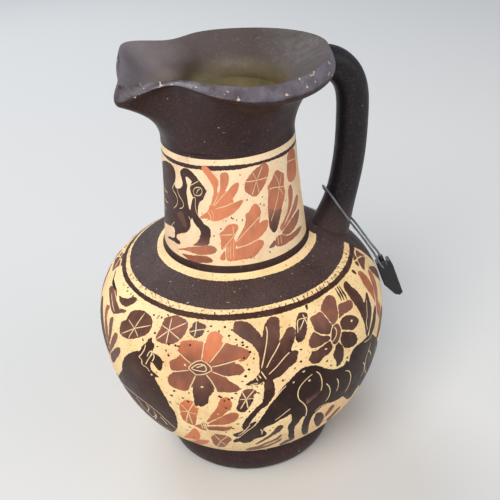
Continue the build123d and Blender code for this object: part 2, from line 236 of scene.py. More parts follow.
# Incised lines by name, as photo points.
NECK_CUTS = {
    "bird_crown": pairs(166, 160, 171.5, 163, 175, 168),
    "bird_nape": pairs(175.8, 181, 173.5, 185, 172, 188.5),
    "bird_breast": pairs(174, 184, 172.8, 189, 176, 195, 177.5, 201, 176.3, 205.5, 173.5, 208.2),
    "bird_wing": pairs(177, 188, 178.5, 194, 181.5, 199.5, 183.5, 204, 182.5, 207.5, 179.5, 208.5),
    "bird_thigh": pairs(174.5, 222, 172, 225, 171.5, 229),
    "bird_leg": pairs(188.5, 216.5, 190.8, 220.5, 191, 226, 189.3, 230.5, 185.5, 233, 180.5, 233.5),
    "bird_brow": pairs(190.5, 185.5, 194, 183.5, 198.5, 181),
    "bird_eye": pairs(
        193.2, 191.5, 194.5, 188.4, 197.6, 187.3, 200.8, 188.4, 202.1, 191.5, 200.8, 194.6, 197.6, 195.7,
        194.5, 194.6, 193.2, 191.5),
    "bird_pupil": pairs(196.5, 194, 197.5, 190.5, 199.5, 189.5),
    "bird_jaw": pairs(193, 197.5, 195.3, 198.3, 195.3, 206, 196.3, 211.5, 198.4, 216),
    "frond_line_1": pairs(212.5, 206, 216.6, 198.5, 219.6, 190.5),
    "frond_line_2": pairs(214, 206.5, 221, 197.6, 228.5, 190),
    "frond_line_3": pairs(215.5, 208.6, 224, 206.6, 233, 202.6),
    "frond_tie_1": pairs(208, 212, 210.5, 216, 211, 220.5),
    "frond_tie_2": pairs(211, 210, 213, 214, 213.6, 220.5),
    **rays("disc_ray", (256.5, 180.5), pairs(
        252.5, 172, 262.5, 165, 267.8, 177, 259.5, 194.5, 251.5, 197, 245.5, 181.8)),
    "long_leaf_collar": pairs(269, 189.5, 274, 187.5, 285, 186),
    "long_leaf_spine": pairs(273.5, 173, 277.5, 180, 279, 187, 277.5, 197, 274.5, 210, 271, 221),
    "long_leaf_side": pairs(281.5, 172, 279.5, 186),
    "long_leaf_fork": pairs(279, 187, 283.5, 195),
    "petal_ray_1": pairs(220.5, 235, 233, 234.5),
    "petal_ray_2": pairs(232.8, 225, 234, 236),
    "petal_ray_3": pairs(222.5, 249, 233, 237, 238, 230),
    "petal_line_1": pairs(236.8, 241.7, 243, 234.5, 251, 226, 256, 220.5, 259.6, 216.4),
    "petal_line_2": pairs(237.7, 247.4, 244, 246, 250, 243.6, 255, 241, 258.7, 239.3),
    "stem_1": pairs(228, 246, 228, 259),
    "stem_2": pairs(230.5, 244, 230.5, 259),
    "stem_3": pairs(233.5, 240, 233.5, 258),
    "far_leaf_collar": pairs(287, 162.5, 290, 160.5, 295.3, 158.3),
    "far_tie_1": pairs(277.5, 235, 278.5, 245),
    "far_tie_2": pairs(280.5, 233.5, 281.5, 244),
}
# Small dabs of slip, as photo points.
NECK_SPECKS = pairs(
    262.5, 197, 264, 205, 202, 213.5, 231.5, 217.9, 233, 218.8, 236.8, 220, 242.5, 220.2, 251, 257.9,
    253.9, 258, 247, 200, 240, 175, 252, 195.5, 260.5, 204, 226, 221, 221, 229, 289, 250, 270, 252, 214, 236,
    209, 240)

# The belly's shapes, incised lines and dabs, in the same way.
BELLY_SHAPES = {
    "disc_1": (UMBER, UMBER, pairs(
        119.5, 331, 120.5, 324.5, 122, 321.5, 126, 319.5, 129.5, 313.5, 133.5, 310.5, 138, 309.8,
        143.5, 310.8, 148, 313.5, 151, 316.5, 152.5, 322, 151.5, 328, 148, 333, 143, 336.3, 137, 338.2,
        130, 338.8, 124, 337.5, 121, 334.5)),
    "disc_2": (BROWN, BROWN, pairs(
        155.5, 339, 157, 334, 160, 329.5, 161.5, 325, 164, 320, 167.5, 316.8, 172, 315.8, 176.5, 315.3,
        181, 317, 185.5, 319.5, 188, 323.5, 187.5, 329, 184.5, 334.5, 180.5, 339.5, 176, 342.8, 170, 344.2,
        163.5, 344, 159, 342)),
    "left_leaf_1": (SOOT, UMBER, pairs(
        119.2, 295.5, 122.5, 297.3, 127.5, 298.6, 132.5, 297, 135.8, 297.3, 137, 300, 134.4, 303.2,
        130, 305.2, 126, 307, 121.9, 304.6, 119.6, 300.8)),
    "left_leaf_2": (BROWN, UMBER, pairs(
        109.2, 288.3, 111.7, 285.6, 115.8, 287.3, 117.2, 291.7, 116.6, 298.3, 117.8, 304, 120.2, 308,
        125.8, 310, 125, 312.6, 118.3, 313.5, 113.3, 313.3, 110.8, 308.3, 109.6, 300, 109.1, 293.3)),
    "left_stalk": (BLACK, BLACK, pairs(
        112, 284, 113.5, 277, 116, 270.3, 115.6, 273.5, 114, 279.5, 115.6, 285.5, 116, 290)),
    "limb_leaf_2": (RUST, RUST, pairs(
        107.5, 304.5, 110, 306.5, 108, 311, 107, 317, 107.5, 325, 108.3, 334, 109.5, 343, 110.5, 350,
        108.5, 345, 106, 335, 104.8, 324, 104.8, 314, 105.8, 308)),
    "limb_leaf_3": (BROWN, UMBER, pairs(
        110, 319, 111.5, 317, 113.5, 318, 113, 323, 112, 329, 111, 336, 109.5, 344, 108, 346, 108.5, 338,
        109, 330, 109.3, 324)),
    "limb_leaf_4": (BROWN, BROWN, pairs(
        111, 341, 113, 335.5, 115.5, 332.5, 117.8, 335, 116.8, 340, 114.5, 345, 112, 350, 109.5, 352,
        109.5, 347)),
    "limb_leaf_5": (UMBER, UMBER, pairs(
        110.5, 354, 113, 350.5, 116, 348, 119.5, 347.3, 120.5, 350.5, 119, 355, 116, 360, 114, 362.5,
        111.8, 360.5)),
    # The left beast's tone above black is a painted sheen of the light from the left.
    "left_beast": (DARK, LINE, pairs(
        152, 338, 152.2, 341.5, 154.3, 345, 153.5, 349.5, 152.5, 352.5, 155.5, 354, 159, 356, 161.5, 359.5,
        162.8, 363.5, 162.3, 368, 160, 370.7, 157.5, 369.5, 155.3, 366.5, 153.3, 363.5, 151, 362.5,
        150.3, 366, 151.5, 369.5, 154, 372.5, 157, 375, 159.5, 377.5, 156.5, 377, 155.2, 377.8, 156.5, 381.5,
        160, 387.5, 163.5, 393.5, 167, 399.5, 169.5, 405, 173, 409.5, 175.5, 414.5, 177.3, 420, 177.5, 425.5,
        176, 430, 173, 432, 169, 431.8, 158, 428, 144, 416, 130, 400, 120, 384, 121.7, 371, 121.9, 365,
        123.5, 359.5, 127, 355, 131.5, 352, 136.5, 351, 139.5, 350.8, 141.5, 347, 144, 344.5, 146.5, 342,
        148.5, 339)),
    "orange_disc": (ORANGE, RED, pairs(
        179.5, 405, 181.5, 402, 186, 400, 189, 400, 193, 401.5, 194, 405, 196.5, 407.5, 198.3, 408,
        197.8, 413, 196.5, 419, 195, 425, 191, 424.5, 186, 422, 182, 418, 180.3, 412.5)),
    "small_disc": (UMBER, SOOT, pairs(
        189.6, 328.5, 191.9, 326.5, 193.1, 323.5, 195.8, 321.5, 197.7, 321.2, 200, 322.7, 204.2, 323.8,
        206.2, 326.5, 205.4, 329.2, 203.8, 332.3, 201.9, 335.4, 199.2, 337.3, 196.2, 338.1, 193.1, 336.9,
        190.4, 334.6, 189.6, 331.5)),
    "rosette_ground": (BROWN, BROWN, pairs(
        180, 353.7, 192, 350, 204.2, 343, 213, 347, 222.7, 346, 227, 354, 236, 360.3, 229, 369, 225, 376.6,
        219, 383, 215.4, 389, 203, 384, 190, 387.2, 183, 379, 175.3, 371.4, 179, 362)),
    "rosette_1": (SALMON, RUST, pairs(
        181, 341.5, 186, 340.2, 193, 340.3, 199, 340.8, 203.5, 342.3, 202.8, 349, 201.3, 358.5, 196.5, 361,
        192.5, 361.5, 186, 357, 180, 353, 177.5, 350.5, 179.2, 347.5, 180, 344)),
    "rosette_2": (SALMON, SALMON, pairs(
        205.2, 344, 206.5, 338.5, 208.5, 334.5, 211, 332.3, 214, 331.3, 218, 332, 221.5, 334.5, 222.7, 337,
        221.8, 341, 223, 343, 220, 349, 214, 356.5, 208, 362.5, 205, 361, 202.5, 358.5, 203.5, 352)),
    "rosette_3": (RUST, RUST, pairs(
        225.5, 343, 231, 344.3, 238, 346.3, 245, 348.5, 249, 350.8, 250, 354, 248, 358, 244, 360.8,
        240, 361.5, 236, 360.2, 229, 361, 221, 363.2, 211.5, 366, 209.5, 364.5, 215, 358.5, 221, 350.5)),
    "rosette_4": (BROWN, BROWN, pairs(
        211.5, 368.5, 218.5, 366.5, 225.4, 364.2, 231.5, 363, 237, 363.8, 241.5, 365.8, 245, 369.6,
        243.8, 371.5, 240, 375.2, 234.6, 375.4, 227.7, 376.2, 220.8, 373.8, 212.3, 370.4)),
    "rosette_5": (RUST, BROWN, pairs(
        212, 371.5, 218.5, 374, 224.6, 376.5, 229.2, 380.4, 234.6, 383.8, 239.2, 387, 239.8, 389.3,
        237, 391.5, 229.2, 392.7, 221.5, 392, 217.7, 391.5, 213.8, 384.6, 209.2, 377.7, 206.2, 374.6,
        209.5, 373)),
    "rosette_6": (BROWN, DARK, pairs(
        195.5, 376.5, 200, 375.5, 205.5, 375.5, 210.5, 382, 214, 389.5, 212, 393.5, 209, 398, 208, 402.5,
        204, 406, 201, 406.8, 198.5, 405.5, 196, 406.8, 194.5, 404, 194, 400, 193, 395, 193, 388,
        194, 381)),
    "rosette_7": (BROWN, RUST, pairs(
        174.2, 372, 182.3, 372, 190.8, 371.5, 195.5, 375, 194.2, 378.5, 192, 383.8, 189.8, 388.8,
        185.4, 390.8, 180, 390, 173.8, 387.7, 169.2, 384.2, 167.7, 380, 168, 377, 170.8, 373.8)),
    "rosette_8": (RED, RUST, pairs(
        170, 360.8, 175.4, 358.5, 179.2, 356.2, 183, 357, 189.2, 360.8, 193.8, 363.1, 190.8, 365,
        188.8, 367.7, 190, 370, 182.3, 370, 173.8, 370.4, 171.2, 370, 170, 366.2)),
    "rosette_heart": (BROWN, UMBER, pairs(
        201.5, 360.4, 196.2, 361.5, 191.5, 364.6, 188.8, 367.7, 190.4, 370, 193.1, 372.3, 196.2, 374.6,
        200.8, 374.6, 205.4, 373.8, 210, 371.5, 211.5, 370, 210.4, 366.9, 208.1, 364.6, 205.4, 362.3)),
    "palmette": (UMBER, BLACK, pairs(
        235.8, 321.2, 243.5, 321.2, 248.8, 323, 253.5, 326.5, 257.3, 330.8, 260.4, 334.6, 261.9, 336.9,
        263.1, 333, 264.2, 325.4, 267.3, 320, 271.2, 316.9, 275.8, 316.5, 278.8, 318.5, 279.6, 323,
        280, 330.8, 279.4, 341, 282.7, 336.2, 285.8, 330.8, 288, 327.7, 291.9, 326.5, 294.2, 328.5,
        295.4, 331.5, 295, 336.9, 293.5, 343, 291.5, 350, 296.5, 350.4, 298.8, 352.3, 297.7, 355.4,
        296.5, 360.8, 293.5, 364.6, 288, 368.5, 281.2, 375.8, 274.2, 379.2, 272.7, 380, 274.6, 383.8,
        275, 390, 274, 396, 270, 402, 266.5, 406, 262, 409, 257, 414, 252, 420, 249.5, 425, 247, 429,
        244, 430.5, 242.3, 428, 243, 424, 246, 418.5, 252, 412.5, 258, 406, 262, 402.5, 263.5, 398,
        263.8, 390, 263.8, 381.5, 260, 384, 252, 385.5, 246, 385, 249.6, 381.5, 255, 378.5, 257.3, 375.8,
        259.6, 372, 259.6, 367.7, 259.2, 360, 258.1, 353, 255.4, 348.5, 250.8, 343.8, 244.6, 339.6, 240, 337,
        236.9, 334.6, 233.5, 331.5, 233.1, 327.7, 233.8, 324.2)),
    "dark_disc": (SOOT, DARK, pairs(
        296.5, 318.5, 297.3, 315.8, 299.6, 313, 302.7, 312, 305.8, 312.7, 307.7, 315.4, 307.3, 322.3,
        306.9, 328.5, 306.5, 333, 304.6, 338.5, 301.2, 341.5, 297.7, 342.7, 295.8, 338.5, 295.4, 332.3,
        295.8, 325.4)),
    "flower_heart": (UMBER, UMBER, pairs(
        330.8, 339.5, 331, 333, 332.2, 327.5, 335, 323.8, 338, 323.3, 340.7, 327, 341.3, 332, 340, 338,
        337.5, 343, 334.8, 345, 332, 343.5)),
    "flower_1": (BROWN, UMBER, pairs(
        310, 317.7, 315, 314.6, 320.4, 312, 325, 316, 330.4, 323, 332, 325.4, 330, 333.8, 322, 333.8,
        315, 330.8, 312, 323.8)),
    "flower_2": (UMBER, UMBER, pairs(
        314.2, 332, 321.2, 335.4, 329.6, 336.2, 330.4, 339.2, 323.5, 343.8, 318, 347, 312, 348.5,
        309.6, 345.4, 308.8, 340.8, 310.8, 336.2)),
    "flower_3": (SOOT, SOOT, pairs(
        312, 351.5, 316.5, 350.4, 322.7, 346.2, 330.4, 340.8, 332.7, 346.2, 329.6, 353, 323.5, 357.7,
        319.6, 362.3, 312.7, 363.8, 308.8, 360, 310.8, 355.4)),
    "flower_4": (BROWN, BROWN, pairs(
        321.5, 304.5, 324, 299, 327.5, 295.5, 330.5, 295, 333.5, 296.5, 335.8, 300, 337, 306, 338, 312,
        337.8, 319, 335.5, 322.5, 332.5, 324.5, 328, 319, 323.5, 313, 320.5, 310, 321, 307)),
    "flower_5": (BROWN, BROWN, pairs(
        338.5, 304.5, 344, 302, 349.5, 300, 352.5, 302, 353, 305.5, 351.5, 309, 348, 312, 343.5, 314.2,
        339, 318.5, 338.8, 312)),
    "flower_6": (SOOT, SOOT, pairs(
        340.5, 320.5, 343.5, 316.8, 348, 315.3, 354, 315.5, 357, 317.5, 358.8, 321, 357.5, 325, 354.5, 328.5,
        352, 330.3, 346, 329.8, 341.5, 329, 340, 325)),
    "flower_7": (DARK, DARK, pairs(
        341.8, 332, 347, 331.5, 352, 332, 355.5, 333.5, 357.3, 337.8, 357, 342, 354.5, 345.5, 350, 347.5,
        344.5, 347.8, 341.5, 343.5, 340.5, 338.5)),
    "flower_8": (DARK, DARK, pairs(
        337.8, 341.5, 340.5, 343.5, 343, 347, 344, 352.5, 343.2, 358.5, 340.8, 363, 338, 366.3, 336.5, 366,
        336.2, 362, 334.3, 358.5, 333.2, 354.5, 334.5, 350.5, 336, 345.5)),
    "goat": (BLACK, BLACK, pairs(
        280.4, 390, 284.2, 385.4, 288.8, 381.5, 293.5, 375.8, 298.8, 370.8, 304.2, 367.3, 309.6, 365.8,
        315, 365.4, 320.4, 366.2, 326.5, 368.5, 331, 369.3, 336, 368.8, 340, 367.5, 343.5, 365.5,
        345.5, 362.5, 346.5, 360.5, 348.5, 361.3, 351, 359.5, 355, 356, 359, 351.5, 362.5, 346.5, 365, 342,
        368, 338.5, 371.5, 336.2, 373.5, 338.5, 374.5, 343, 374.5, 350, 372.8, 357, 371, 364, 368, 371,
        365.5, 375.5, 364, 378.5, 361, 380.3, 358.5, 384, 357.5, 387, 355, 390.5, 352.5, 394.5, 350.8, 397,
        347.5, 399, 345.5, 398.5, 342.5, 396.5, 339.5, 398.5, 336, 400.5, 331, 402.5, 326, 404.5, 321.5, 407,
        317.5, 410.5, 314.5, 413.5, 312, 416.5, 310.5, 420, 309, 425, 308, 430, 307.8, 433, 305, 434.5,
        302.5, 434, 301.3, 431, 302, 426, 303.3, 420.5, 305, 416.5, 303.5, 416.3, 301, 419, 298, 423,
        295.5, 426, 294.3, 430, 294.2, 434.5, 294.5, 438, 292, 439, 289, 438.5, 288, 436, 288.8, 432,
        287.5, 428.5, 288.3, 426, 289.8, 423.5, 291.5, 420.5, 291.8, 417, 291, 414.5, 289, 415, 285, 417.5,
        280, 420, 275, 423, 270, 425.5, 266, 427, 263, 429.5, 265, 431, 266.5, 433, 265.5, 435.5, 262.5, 437,
        258, 438, 254.5, 439.3, 251.5, 441.5, 247, 442.8, 243, 443, 239.5, 441.5, 236, 442.5, 233.5, 442,
        234, 440, 237, 438, 240, 436.5, 236.5, 437, 234, 436, 233.3, 434.5, 236, 433, 240, 432, 243.5, 430.5,
        246, 429, 248, 426.5, 250.5, 423.5, 253.5, 422, 256, 421.5, 257.5, 423, 260, 420, 263.5, 414.5,
        267.5, 408.5, 272, 402.5, 276, 397.5)),
    # A painted reddish reflection on the goat's flank: black above, rust below.
    "goat_flank": (BLACK, RUST, pairs(
        306, 399, 310, 397, 315, 393, 319.5, 388, 320.5, 391, 317, 396, 312, 400, 308, 403.5, 306.5, 403)),
    "low_disc": (BROWN, DARK, pairs(
        242.5, 391.5, 245, 389.5, 249.5, 389, 254, 389.2, 256.8, 391.5, 256.5, 393, 254, 395.5, 253, 400,
        251, 405, 248, 409, 244.5, 412, 240.5, 412.3, 237.5, 410.5, 236.3, 407.5, 238, 404, 239, 399.5,
        240.5, 395)),
    "red_leaf_1": (SALMON, RED, pairs(
        213.5, 412, 217, 407, 219.5, 401, 221.3, 398.5, 225, 397.3, 229, 398, 231.5, 401.5, 231.8, 405.5,
        230.5, 409.5, 226, 412.5, 221.5, 416.5, 215, 419.5, 209, 422, 206.5, 421.5, 209, 418)),
    "red_leaf_2": (RED, RED, pairs(
        208, 424, 214, 420.8, 221, 417.5, 227, 414, 232, 412.8, 236.5, 413, 239, 414.5, 238, 418,
        234.5, 421.5, 229, 423.8, 222, 424.8, 215, 425, 209.5, 425)),
    "red_leaf_3": (RED, BROWN, pairs(
        207.5, 426.8, 213, 426.3, 220, 426.5, 226, 426.7, 231, 426.3, 232.3, 427.3, 230.5, 429.5, 224, 431,
        216, 430.5, 209, 430)),
    "red_tie": (RED, RED, pairs(
        195, 425.5, 200, 424, 204, 422.5, 207, 424.5, 207, 429.5, 203, 430, 198.5, 428)),
    "orange_leaf_1": (ORANGE, ORANGE, pairs(
        183.5, 437, 187, 434.5, 190.5, 431.5, 193.5, 428, 196.5, 429, 199, 432, 200.5, 435, 199.5, 438.5,
        197, 440, 190, 438.5)),
    "orange_leaf_2": (ORANGE, RED, pairs(
        187, 440, 195, 440.5, 200, 439.5, 205, 439.8, 209, 440.5, 208.5, 442.5, 204.5, 444.3, 198, 443.8,
        191, 442)),
    "foot_disc": (RUST, RUST, pairs(
        211, 437, 213.5, 435.5, 215.5, 434, 219, 434.3, 223.5, 435, 227.5, 436.2, 230.5, 437.5, 231.5, 440,
        229, 442.5, 227, 445, 223.5, 447, 219, 446.8, 215, 445, 212.5, 441.5)),
    "goat_frond_1": (SOOT, UMBER, pairs(
        273, 431.5, 275.5, 428, 279, 425.5, 282.5, 425, 283.5, 426.5, 281.5, 429.5, 279.5, 432, 276, 433.5,
        270, 437.5, 262, 442, 256, 444.5, 255.5, 443.5, 261, 440.5, 267, 436.5, 270.5, 434)),
    "goat_frond_2": (BROWN, BROWN, pairs(
        256, 447, 263, 443.5, 270, 441, 276, 438, 280.5, 434.5, 281.5, 435.5, 279, 439, 273, 441.5,
        266, 444.5, 259, 447.5)),
    "goat_frond_3": (BROWN, BROWN, pairs(
        246, 449, 255, 446.5, 264, 446, 272, 443, 279, 439.5, 281.5, 438, 281, 440.5, 275, 443.5, 267, 447,
        257, 449.5, 248, 450.3)),
    "goat_shadow": (UMBER, UMBER, pairs(
        279, 444.5, 285, 440.5, 291, 438.8, 293, 439.5, 288, 442, 281.5, 445)),
    "leg_leaf": (DARK, DARK, pairs(
        314.5, 417, 316, 413.5, 319.5, 412.3, 322.5, 412.8, 324, 416, 322.5, 420.5, 320, 424.5, 317.5, 426.5,
        315, 424.5, 313.8, 420.5)),
    "leg_frond_1": (BROWN, BROWN, pairs(
        325, 414, 327.5, 410.5, 330.5, 406.5, 333.5, 404.5, 334.5, 405.5, 332.5, 409, 329, 413.5,
        325.5, 416.5)),
    "leg_frond_2": (BROWN, BROWN, pairs(
        326, 420, 331, 415, 335.5, 410, 339.5, 406.5, 340.5, 407, 337, 411.5, 332, 417, 328.5, 420.5)),
    "leg_frond_3": (BROWN, BROWN, pairs(
        317, 428.5, 322, 425.5, 328, 422.5, 334, 417.5, 340, 411.5, 343, 407.5, 344, 408, 340, 413.5,
        334, 420, 327, 424.5, 321, 428)),
    "corner_leaf_1": (BROWN, UMBER, pairs(
        356, 249.5, 359.5, 252.2, 364, 255.7, 360.5, 256, 357.5, 257.3, 355.8, 253.5)),
    "corner_leaf_2": (UMBER, UMBER, pairs(353.8, 252, 355, 255, 356.7, 258, 354, 260.5, 353.2, 258)),
    "corner_leaf_3": (UMBER, UMBER, pairs(
        357.5, 259.5, 360, 257.5, 363.5, 256.5, 365, 257.8, 364.8, 262, 364.5, 266, 365, 270, 362.5, 268.5,
        360, 265, 358.5, 262)),
    "corner_leaf_4": (UMBER, UMBER, pairs(354.5, 262.5, 357, 261, 358.8, 264.5, 358.3, 266.5)),
    "side_frond_1": (RED, RED, pairs(
        358.5, 271, 361, 271, 364.5, 274, 368.5, 278.5, 371.5, 284, 373.5, 290, 374.5, 296, 375.2, 302,
        372.5, 297.5, 368, 290.5, 363.5, 284, 360.3, 278, 358, 273.5)),
    "side_frond_2": (RED, RED, pairs(
        367.8, 270, 369, 269.8, 372, 273, 374.8, 278.5, 376.5, 285, 377.5, 292, 378, 300, 380, 305,
        380.5, 312, 379.5, 318, 377, 312, 376, 303, 374.5, 293, 372, 284, 369.5, 276.5)),
    "side_leaf_1": (SOOT, DARK, pairs(
        343.3, 285, 344, 282.5, 346, 281.2, 348.5, 282.8, 352, 287, 356.5, 290.5, 360, 294.5, 362.5, 299,
        363.8, 302.5, 365.3, 299, 365.8, 293.5, 366.8, 292, 368, 295, 369.5, 299.5, 371, 305, 371.5, 311,
        371.2, 318, 370, 325, 368.8, 331, 367.2, 336.5, 366, 334, 365, 328, 363.5, 321, 361, 315,
        357.5, 308.5, 353.5, 302.5, 349.5, 297, 346.5, 292.5, 344.2, 288.8)),
    "side_leaf_2": (DARK, BLACK, pairs(
        374.8, 305, 376, 308, 375.8, 316, 375, 324, 373, 331, 370.5, 335.5, 369, 335, 369.8, 330, 371.5, 323,
        373, 315, 374, 309)),
    "side_mark": (DARK, DARK, pairs(
        351.3, 270.5, 353, 269.5, 355.5, 272, 356.5, 274.5, 354, 273.5, 352, 271.8)),
    "line_spur": (BLACK, BLACK, pairs(305, 305, 307.5, 304.5, 307.3, 310, 306, 309)),
    "line_swell": (SOOT, SOOT, pairs(
        325, 287.4, 331.7, 282.4, 337.2, 277.4, 343.3, 269.6, 346.9, 262.8, 349.1, 253.9, 350.2, 244.6,
        354.1, 247.4, 353, 256, 351.9, 262.8, 348, 271.7, 343, 278.3, 336.2, 285, 330.6, 289.6, 325, 293.6,
        312, 299.5, 312, 297)),
    "hatch_1": (DARK, DARK, pairs(335, 289.2, 336, 288.6, 341.5, 298.8, 340.6, 299.9)),
    "hatch_2": (DARK, DARK, pairs(337, 287.7, 338.2, 287, 344, 298.4, 342.8, 299)),
    "hatch_3": (DARK, DARK, pairs(339, 287, 340, 286.4, 346.8, 297.6, 345.8, 298.6)),
}
BELLY_CUTS = {
    "left_leaf_line_1": pairs(114.9, 290.5, 116.2, 298.3, 118.3, 305, 120.4, 309.4),
    "left_leaf_line_2": pairs(111.7, 293.3, 112.5, 303.3, 114.4, 311.7),
    "rosette_line_1": pairs(190.6, 363.5, 178.8, 352.5),
    "rosette_line_2": pairs(201.6, 359.9, 204.6, 340.5),
    "rosette_line_3": pairs(209, 363.5, 225.1, 342.9),
    "rosette_line_4": pairs(211.2, 367.2, 240.6, 359.1),
    "rosette_line_5": pairs(211.9, 371.6, 227.4, 377.5),
    "rosette_line_6": pairs(206, 374.6, 212, 382, 217.1, 391.5),
    "rosette_line_7": pairs(195.7, 375.3, 189.1, 389.3),
    "rosette_line_8": pairs(189.1, 370.1, 172.9, 371.6),
    **rays("disc_1_ray", (134.5, 328.3), pairs(
        121.5, 333.5, 128.7, 319.5, 144.8, 313.3, 150.5, 325.3, 138, 336.5, 128.5, 338)),
    **rays("disc_2_ray", (169.2, 330.2), pairs(
        162, 325, 172, 318, 187, 322.5, 180, 339.5, 166, 344, 156, 339.5)),
    "beast_back": pairs(121.5, 383.5, 131, 391, 140, 398.5, 150, 406, 160, 414, 170, 423.5, 176, 428.5),
    "beast_mane": pairs(136, 397, 142, 405, 149, 413, 153, 416.5, 156, 415.5),
    "beast_curl_1": pairs(146, 404, 149, 408.5, 147.5, 411.5),
    "beast_curl_2": pairs(153, 411, 156.5, 416, 155, 419),
    "beast_curl_3": pairs(160, 416.5, 164, 420.5, 167.5, 425),
    "beast_curl_4": pairs(158, 421.5, 163, 426, 169.5, 429.5),
    "beast_jaw": pairs(
        145.5, 344.5, 144.5, 349, 141.5, 354, 139, 357, 141.5, 359.5, 142.3, 364.5, 146.5, 367.3,
        149.5, 371.5),
    "beast_eye": pairs(145.5, 364.5, 148.5, 359, 152.5, 353.5),
    "beast_brow": pairs(147, 356.5, 149, 352.5, 152, 351, 151, 355, 148.5, 359),
    "beast_nose": pairs(153.5, 353.5, 154, 357.5, 152, 361.5),
    **rays("orange_ray", (188.3, 411.8), pairs(
        181, 404, 194, 402.5, 197, 414.5, 192.8, 424.5, 186, 422.5, 180.5, 411)),
    "small_disc_1": pairs(196.5, 321.5, 195.8, 330, 194.2, 337),
    "small_disc_2": pairs(190, 331.9, 196.2, 330.4, 205.4, 329.1),
    "heart_ring": ring_of(BELLY_SHAPES["rosette_heart"]),
    "heart_inner": pairs(
        191.2, 368.1, 193.8, 369.6, 198.5, 370.8, 204.6, 371.5, 206.2, 370, 205.8, 367.3, 203.8, 365,
        200, 364.2, 196.2, 365, 191.2, 368.1),
    "heart_stroke": pairs(196.2, 367.7, 200, 366.5, 204.6, 364.6),
    "palmette_1": pairs(265.8, 326.5, 267.2, 332.3, 266.5, 343, 264.6, 353.8, 261.5, 368.5),
    "palmette_2": pairs(280, 342.3, 275.8, 350.8, 270.4, 360, 266.5, 368),
    "palmette_3": pairs(289.6, 352.3, 284.2, 357.7, 276.5, 366.9, 268.5, 374.6),
    "palmette_4": pairs(261.2, 371.5, 266.5, 379.2),
    "palmette_5": pairs(258.8, 375.4, 261.2, 378.5),
    "palmette_6": pairs(255.8, 377, 258, 381),
    "palmette_7": pairs(250, 385, 258, 383),
    "dark_disc_1": pairs(304.6, 318, 297.7, 320.8, 298, 333),
    **rays("dark_disc_ray", (304.6, 318), pairs(302.7, 314.6, 307.7, 317.3, 307.3, 324.6, 299.6, 330.4)),
    "flower_ring": ring_of(BELLY_SHAPES["flower_heart"]),
    "flower_inner": pairs(334.5, 327, 336.5, 331, 336, 336, 333.5, 340.5, 331, 343),
    "goat_neck": pairs(286, 386, 281, 391, 276, 397.5),
    "goat_chest": pairs(290.5, 408.5, 283, 414.5, 275, 420.5),
    "goat_muzzle_1": pairs(256.5, 423, 253, 427, 246.5, 431.5, 237, 439),
    "goat_muzzle_2": pairs(250, 425, 244, 431.5, 238, 435.5),
    "goat_ear": pairs(258.5, 420, 254.5, 426.5),
    "goat_eye": pairs(260.5, 429.5, 262.3, 431.5, 261.5, 434.5),
    "goat_shoulder_1": pairs(
        312.5, 374.2, 308.8, 377, 304.2, 381.5, 300.4, 386.2, 298.3, 391, 298, 396, 299.5, 400, 303, 403,
        305.8, 406.5, 306.7, 411, 305.5, 416.5),
    "goat_shoulder_2": pairs(316.5, 371.5, 320, 374.6, 321.8, 380, 322, 386, 320.8, 391),
    "goat_rib_1": pairs(326.3, 383.5, 329, 386.5, 330.2, 391, 328.8, 396.5, 325.5, 401.5),
    "goat_rib_2": pairs(337, 378.5, 338.5, 382, 338.2, 386.5, 336.5, 391),
    "goat_rib_3": pairs(345.5, 371, 348.5, 370.8, 350.5, 374, 350.5, 379.5, 348.5, 386, 345, 392),
    "goat_haunch": pairs(363, 362.5, 364.5, 365, 363.5, 371, 361, 377),
    "goat_tail": pairs(368.5, 350.5, 370.5, 352.5, 371, 356),
    "goat_belly": pairs(334, 402.5, 326, 403.8, 320, 406.8, 315, 411.5),
    "goat_rump": pairs(364, 342.5, 368.5, 339.5, 372, 334.5),
    **rays("low_disc_ray", (246.3, 399.2), pairs(
        242, 391.8, 254.5, 389.5, 253, 398.3, 248, 408.5, 240.5, 409, 240, 399.5)),
    "red_tie_1": pairs(201, 423, 203, 429),
    "red_tie_2": pairs(203, 422, 205.3, 429.5),
    "red_tie_3": pairs(204.8, 422.5, 206.8, 429.5),
    **rays("foot_disc_ray", (220.8, 441), pairs(214.8, 435.3, 227.5, 436.3, 226, 445.5, 217.5, 446)),
    "side_leaf_spine": pairs(366.5, 300, 366.8, 308, 367.2, 316, 366.3, 322, 367.5, 330),
}
BELLY_SPECKS = pairs(
    211, 326.2, 208, 331.3, 229, 335.8, 236.2, 339.6, 242.5, 342.5, 243, 345.3, 253.8, 358.5, 249, 369.5,
    245.5, 376.7, 242.4, 381.5, 219.2, 396.3, 219, 331.3, 175.5, 345.5, 178.3, 346.3, 189, 393, 172, 395.5,
    258.5, 393, 242, 417.5, 249, 420.5, 249.5, 411.5, 301, 361.5, 301, 349.5, 295, 368.3, 283, 380.5,
    331, 365.5, 347.5, 357.5, 327, 361, 270, 430.5, 190, 427, 187, 430, 157.5, 346.6, 169, 344.4, 166, 350.5,
    168.5, 355.4, 163, 362, 170.7, 395, 174, 391, 183, 398, 188, 401.5, 221, 397.5, 224.5, 401, 232, 398,
    236, 393.5, 240.5, 389, 245.7, 376, 244, 358, 250, 352, 247, 347, 237, 345, 229, 399.5, 226, 408,
    178, 404, 170, 402, 186, 434, 194, 437.5, 215, 436, 124, 285, 127.5, 291, 131, 294, 133, 296.2, 154, 315,
    159, 316, 161.7, 317.5, 168, 315, 157.5, 318, 128, 287.5, 226, 432, 233, 428.5, 238, 424, 245, 405,
    252, 401, 143, 340, 155, 333, 190, 345, 199, 335.5, 225, 327, 232, 330, 296, 330, 303, 318.5, 291, 341,
    310, 375, 322, 368, 262, 384, 269, 391, 264, 402)
# Bright flecks where the slip has chipped off.
BELLY_FLECKS = pairs(
    151.6, 374.6, 185, 365, 351.6, 320.8, 303.8, 371.5, 293.7, 382.3, 309.5, 380.5, 326, 349, 218, 414,
    202, 387)
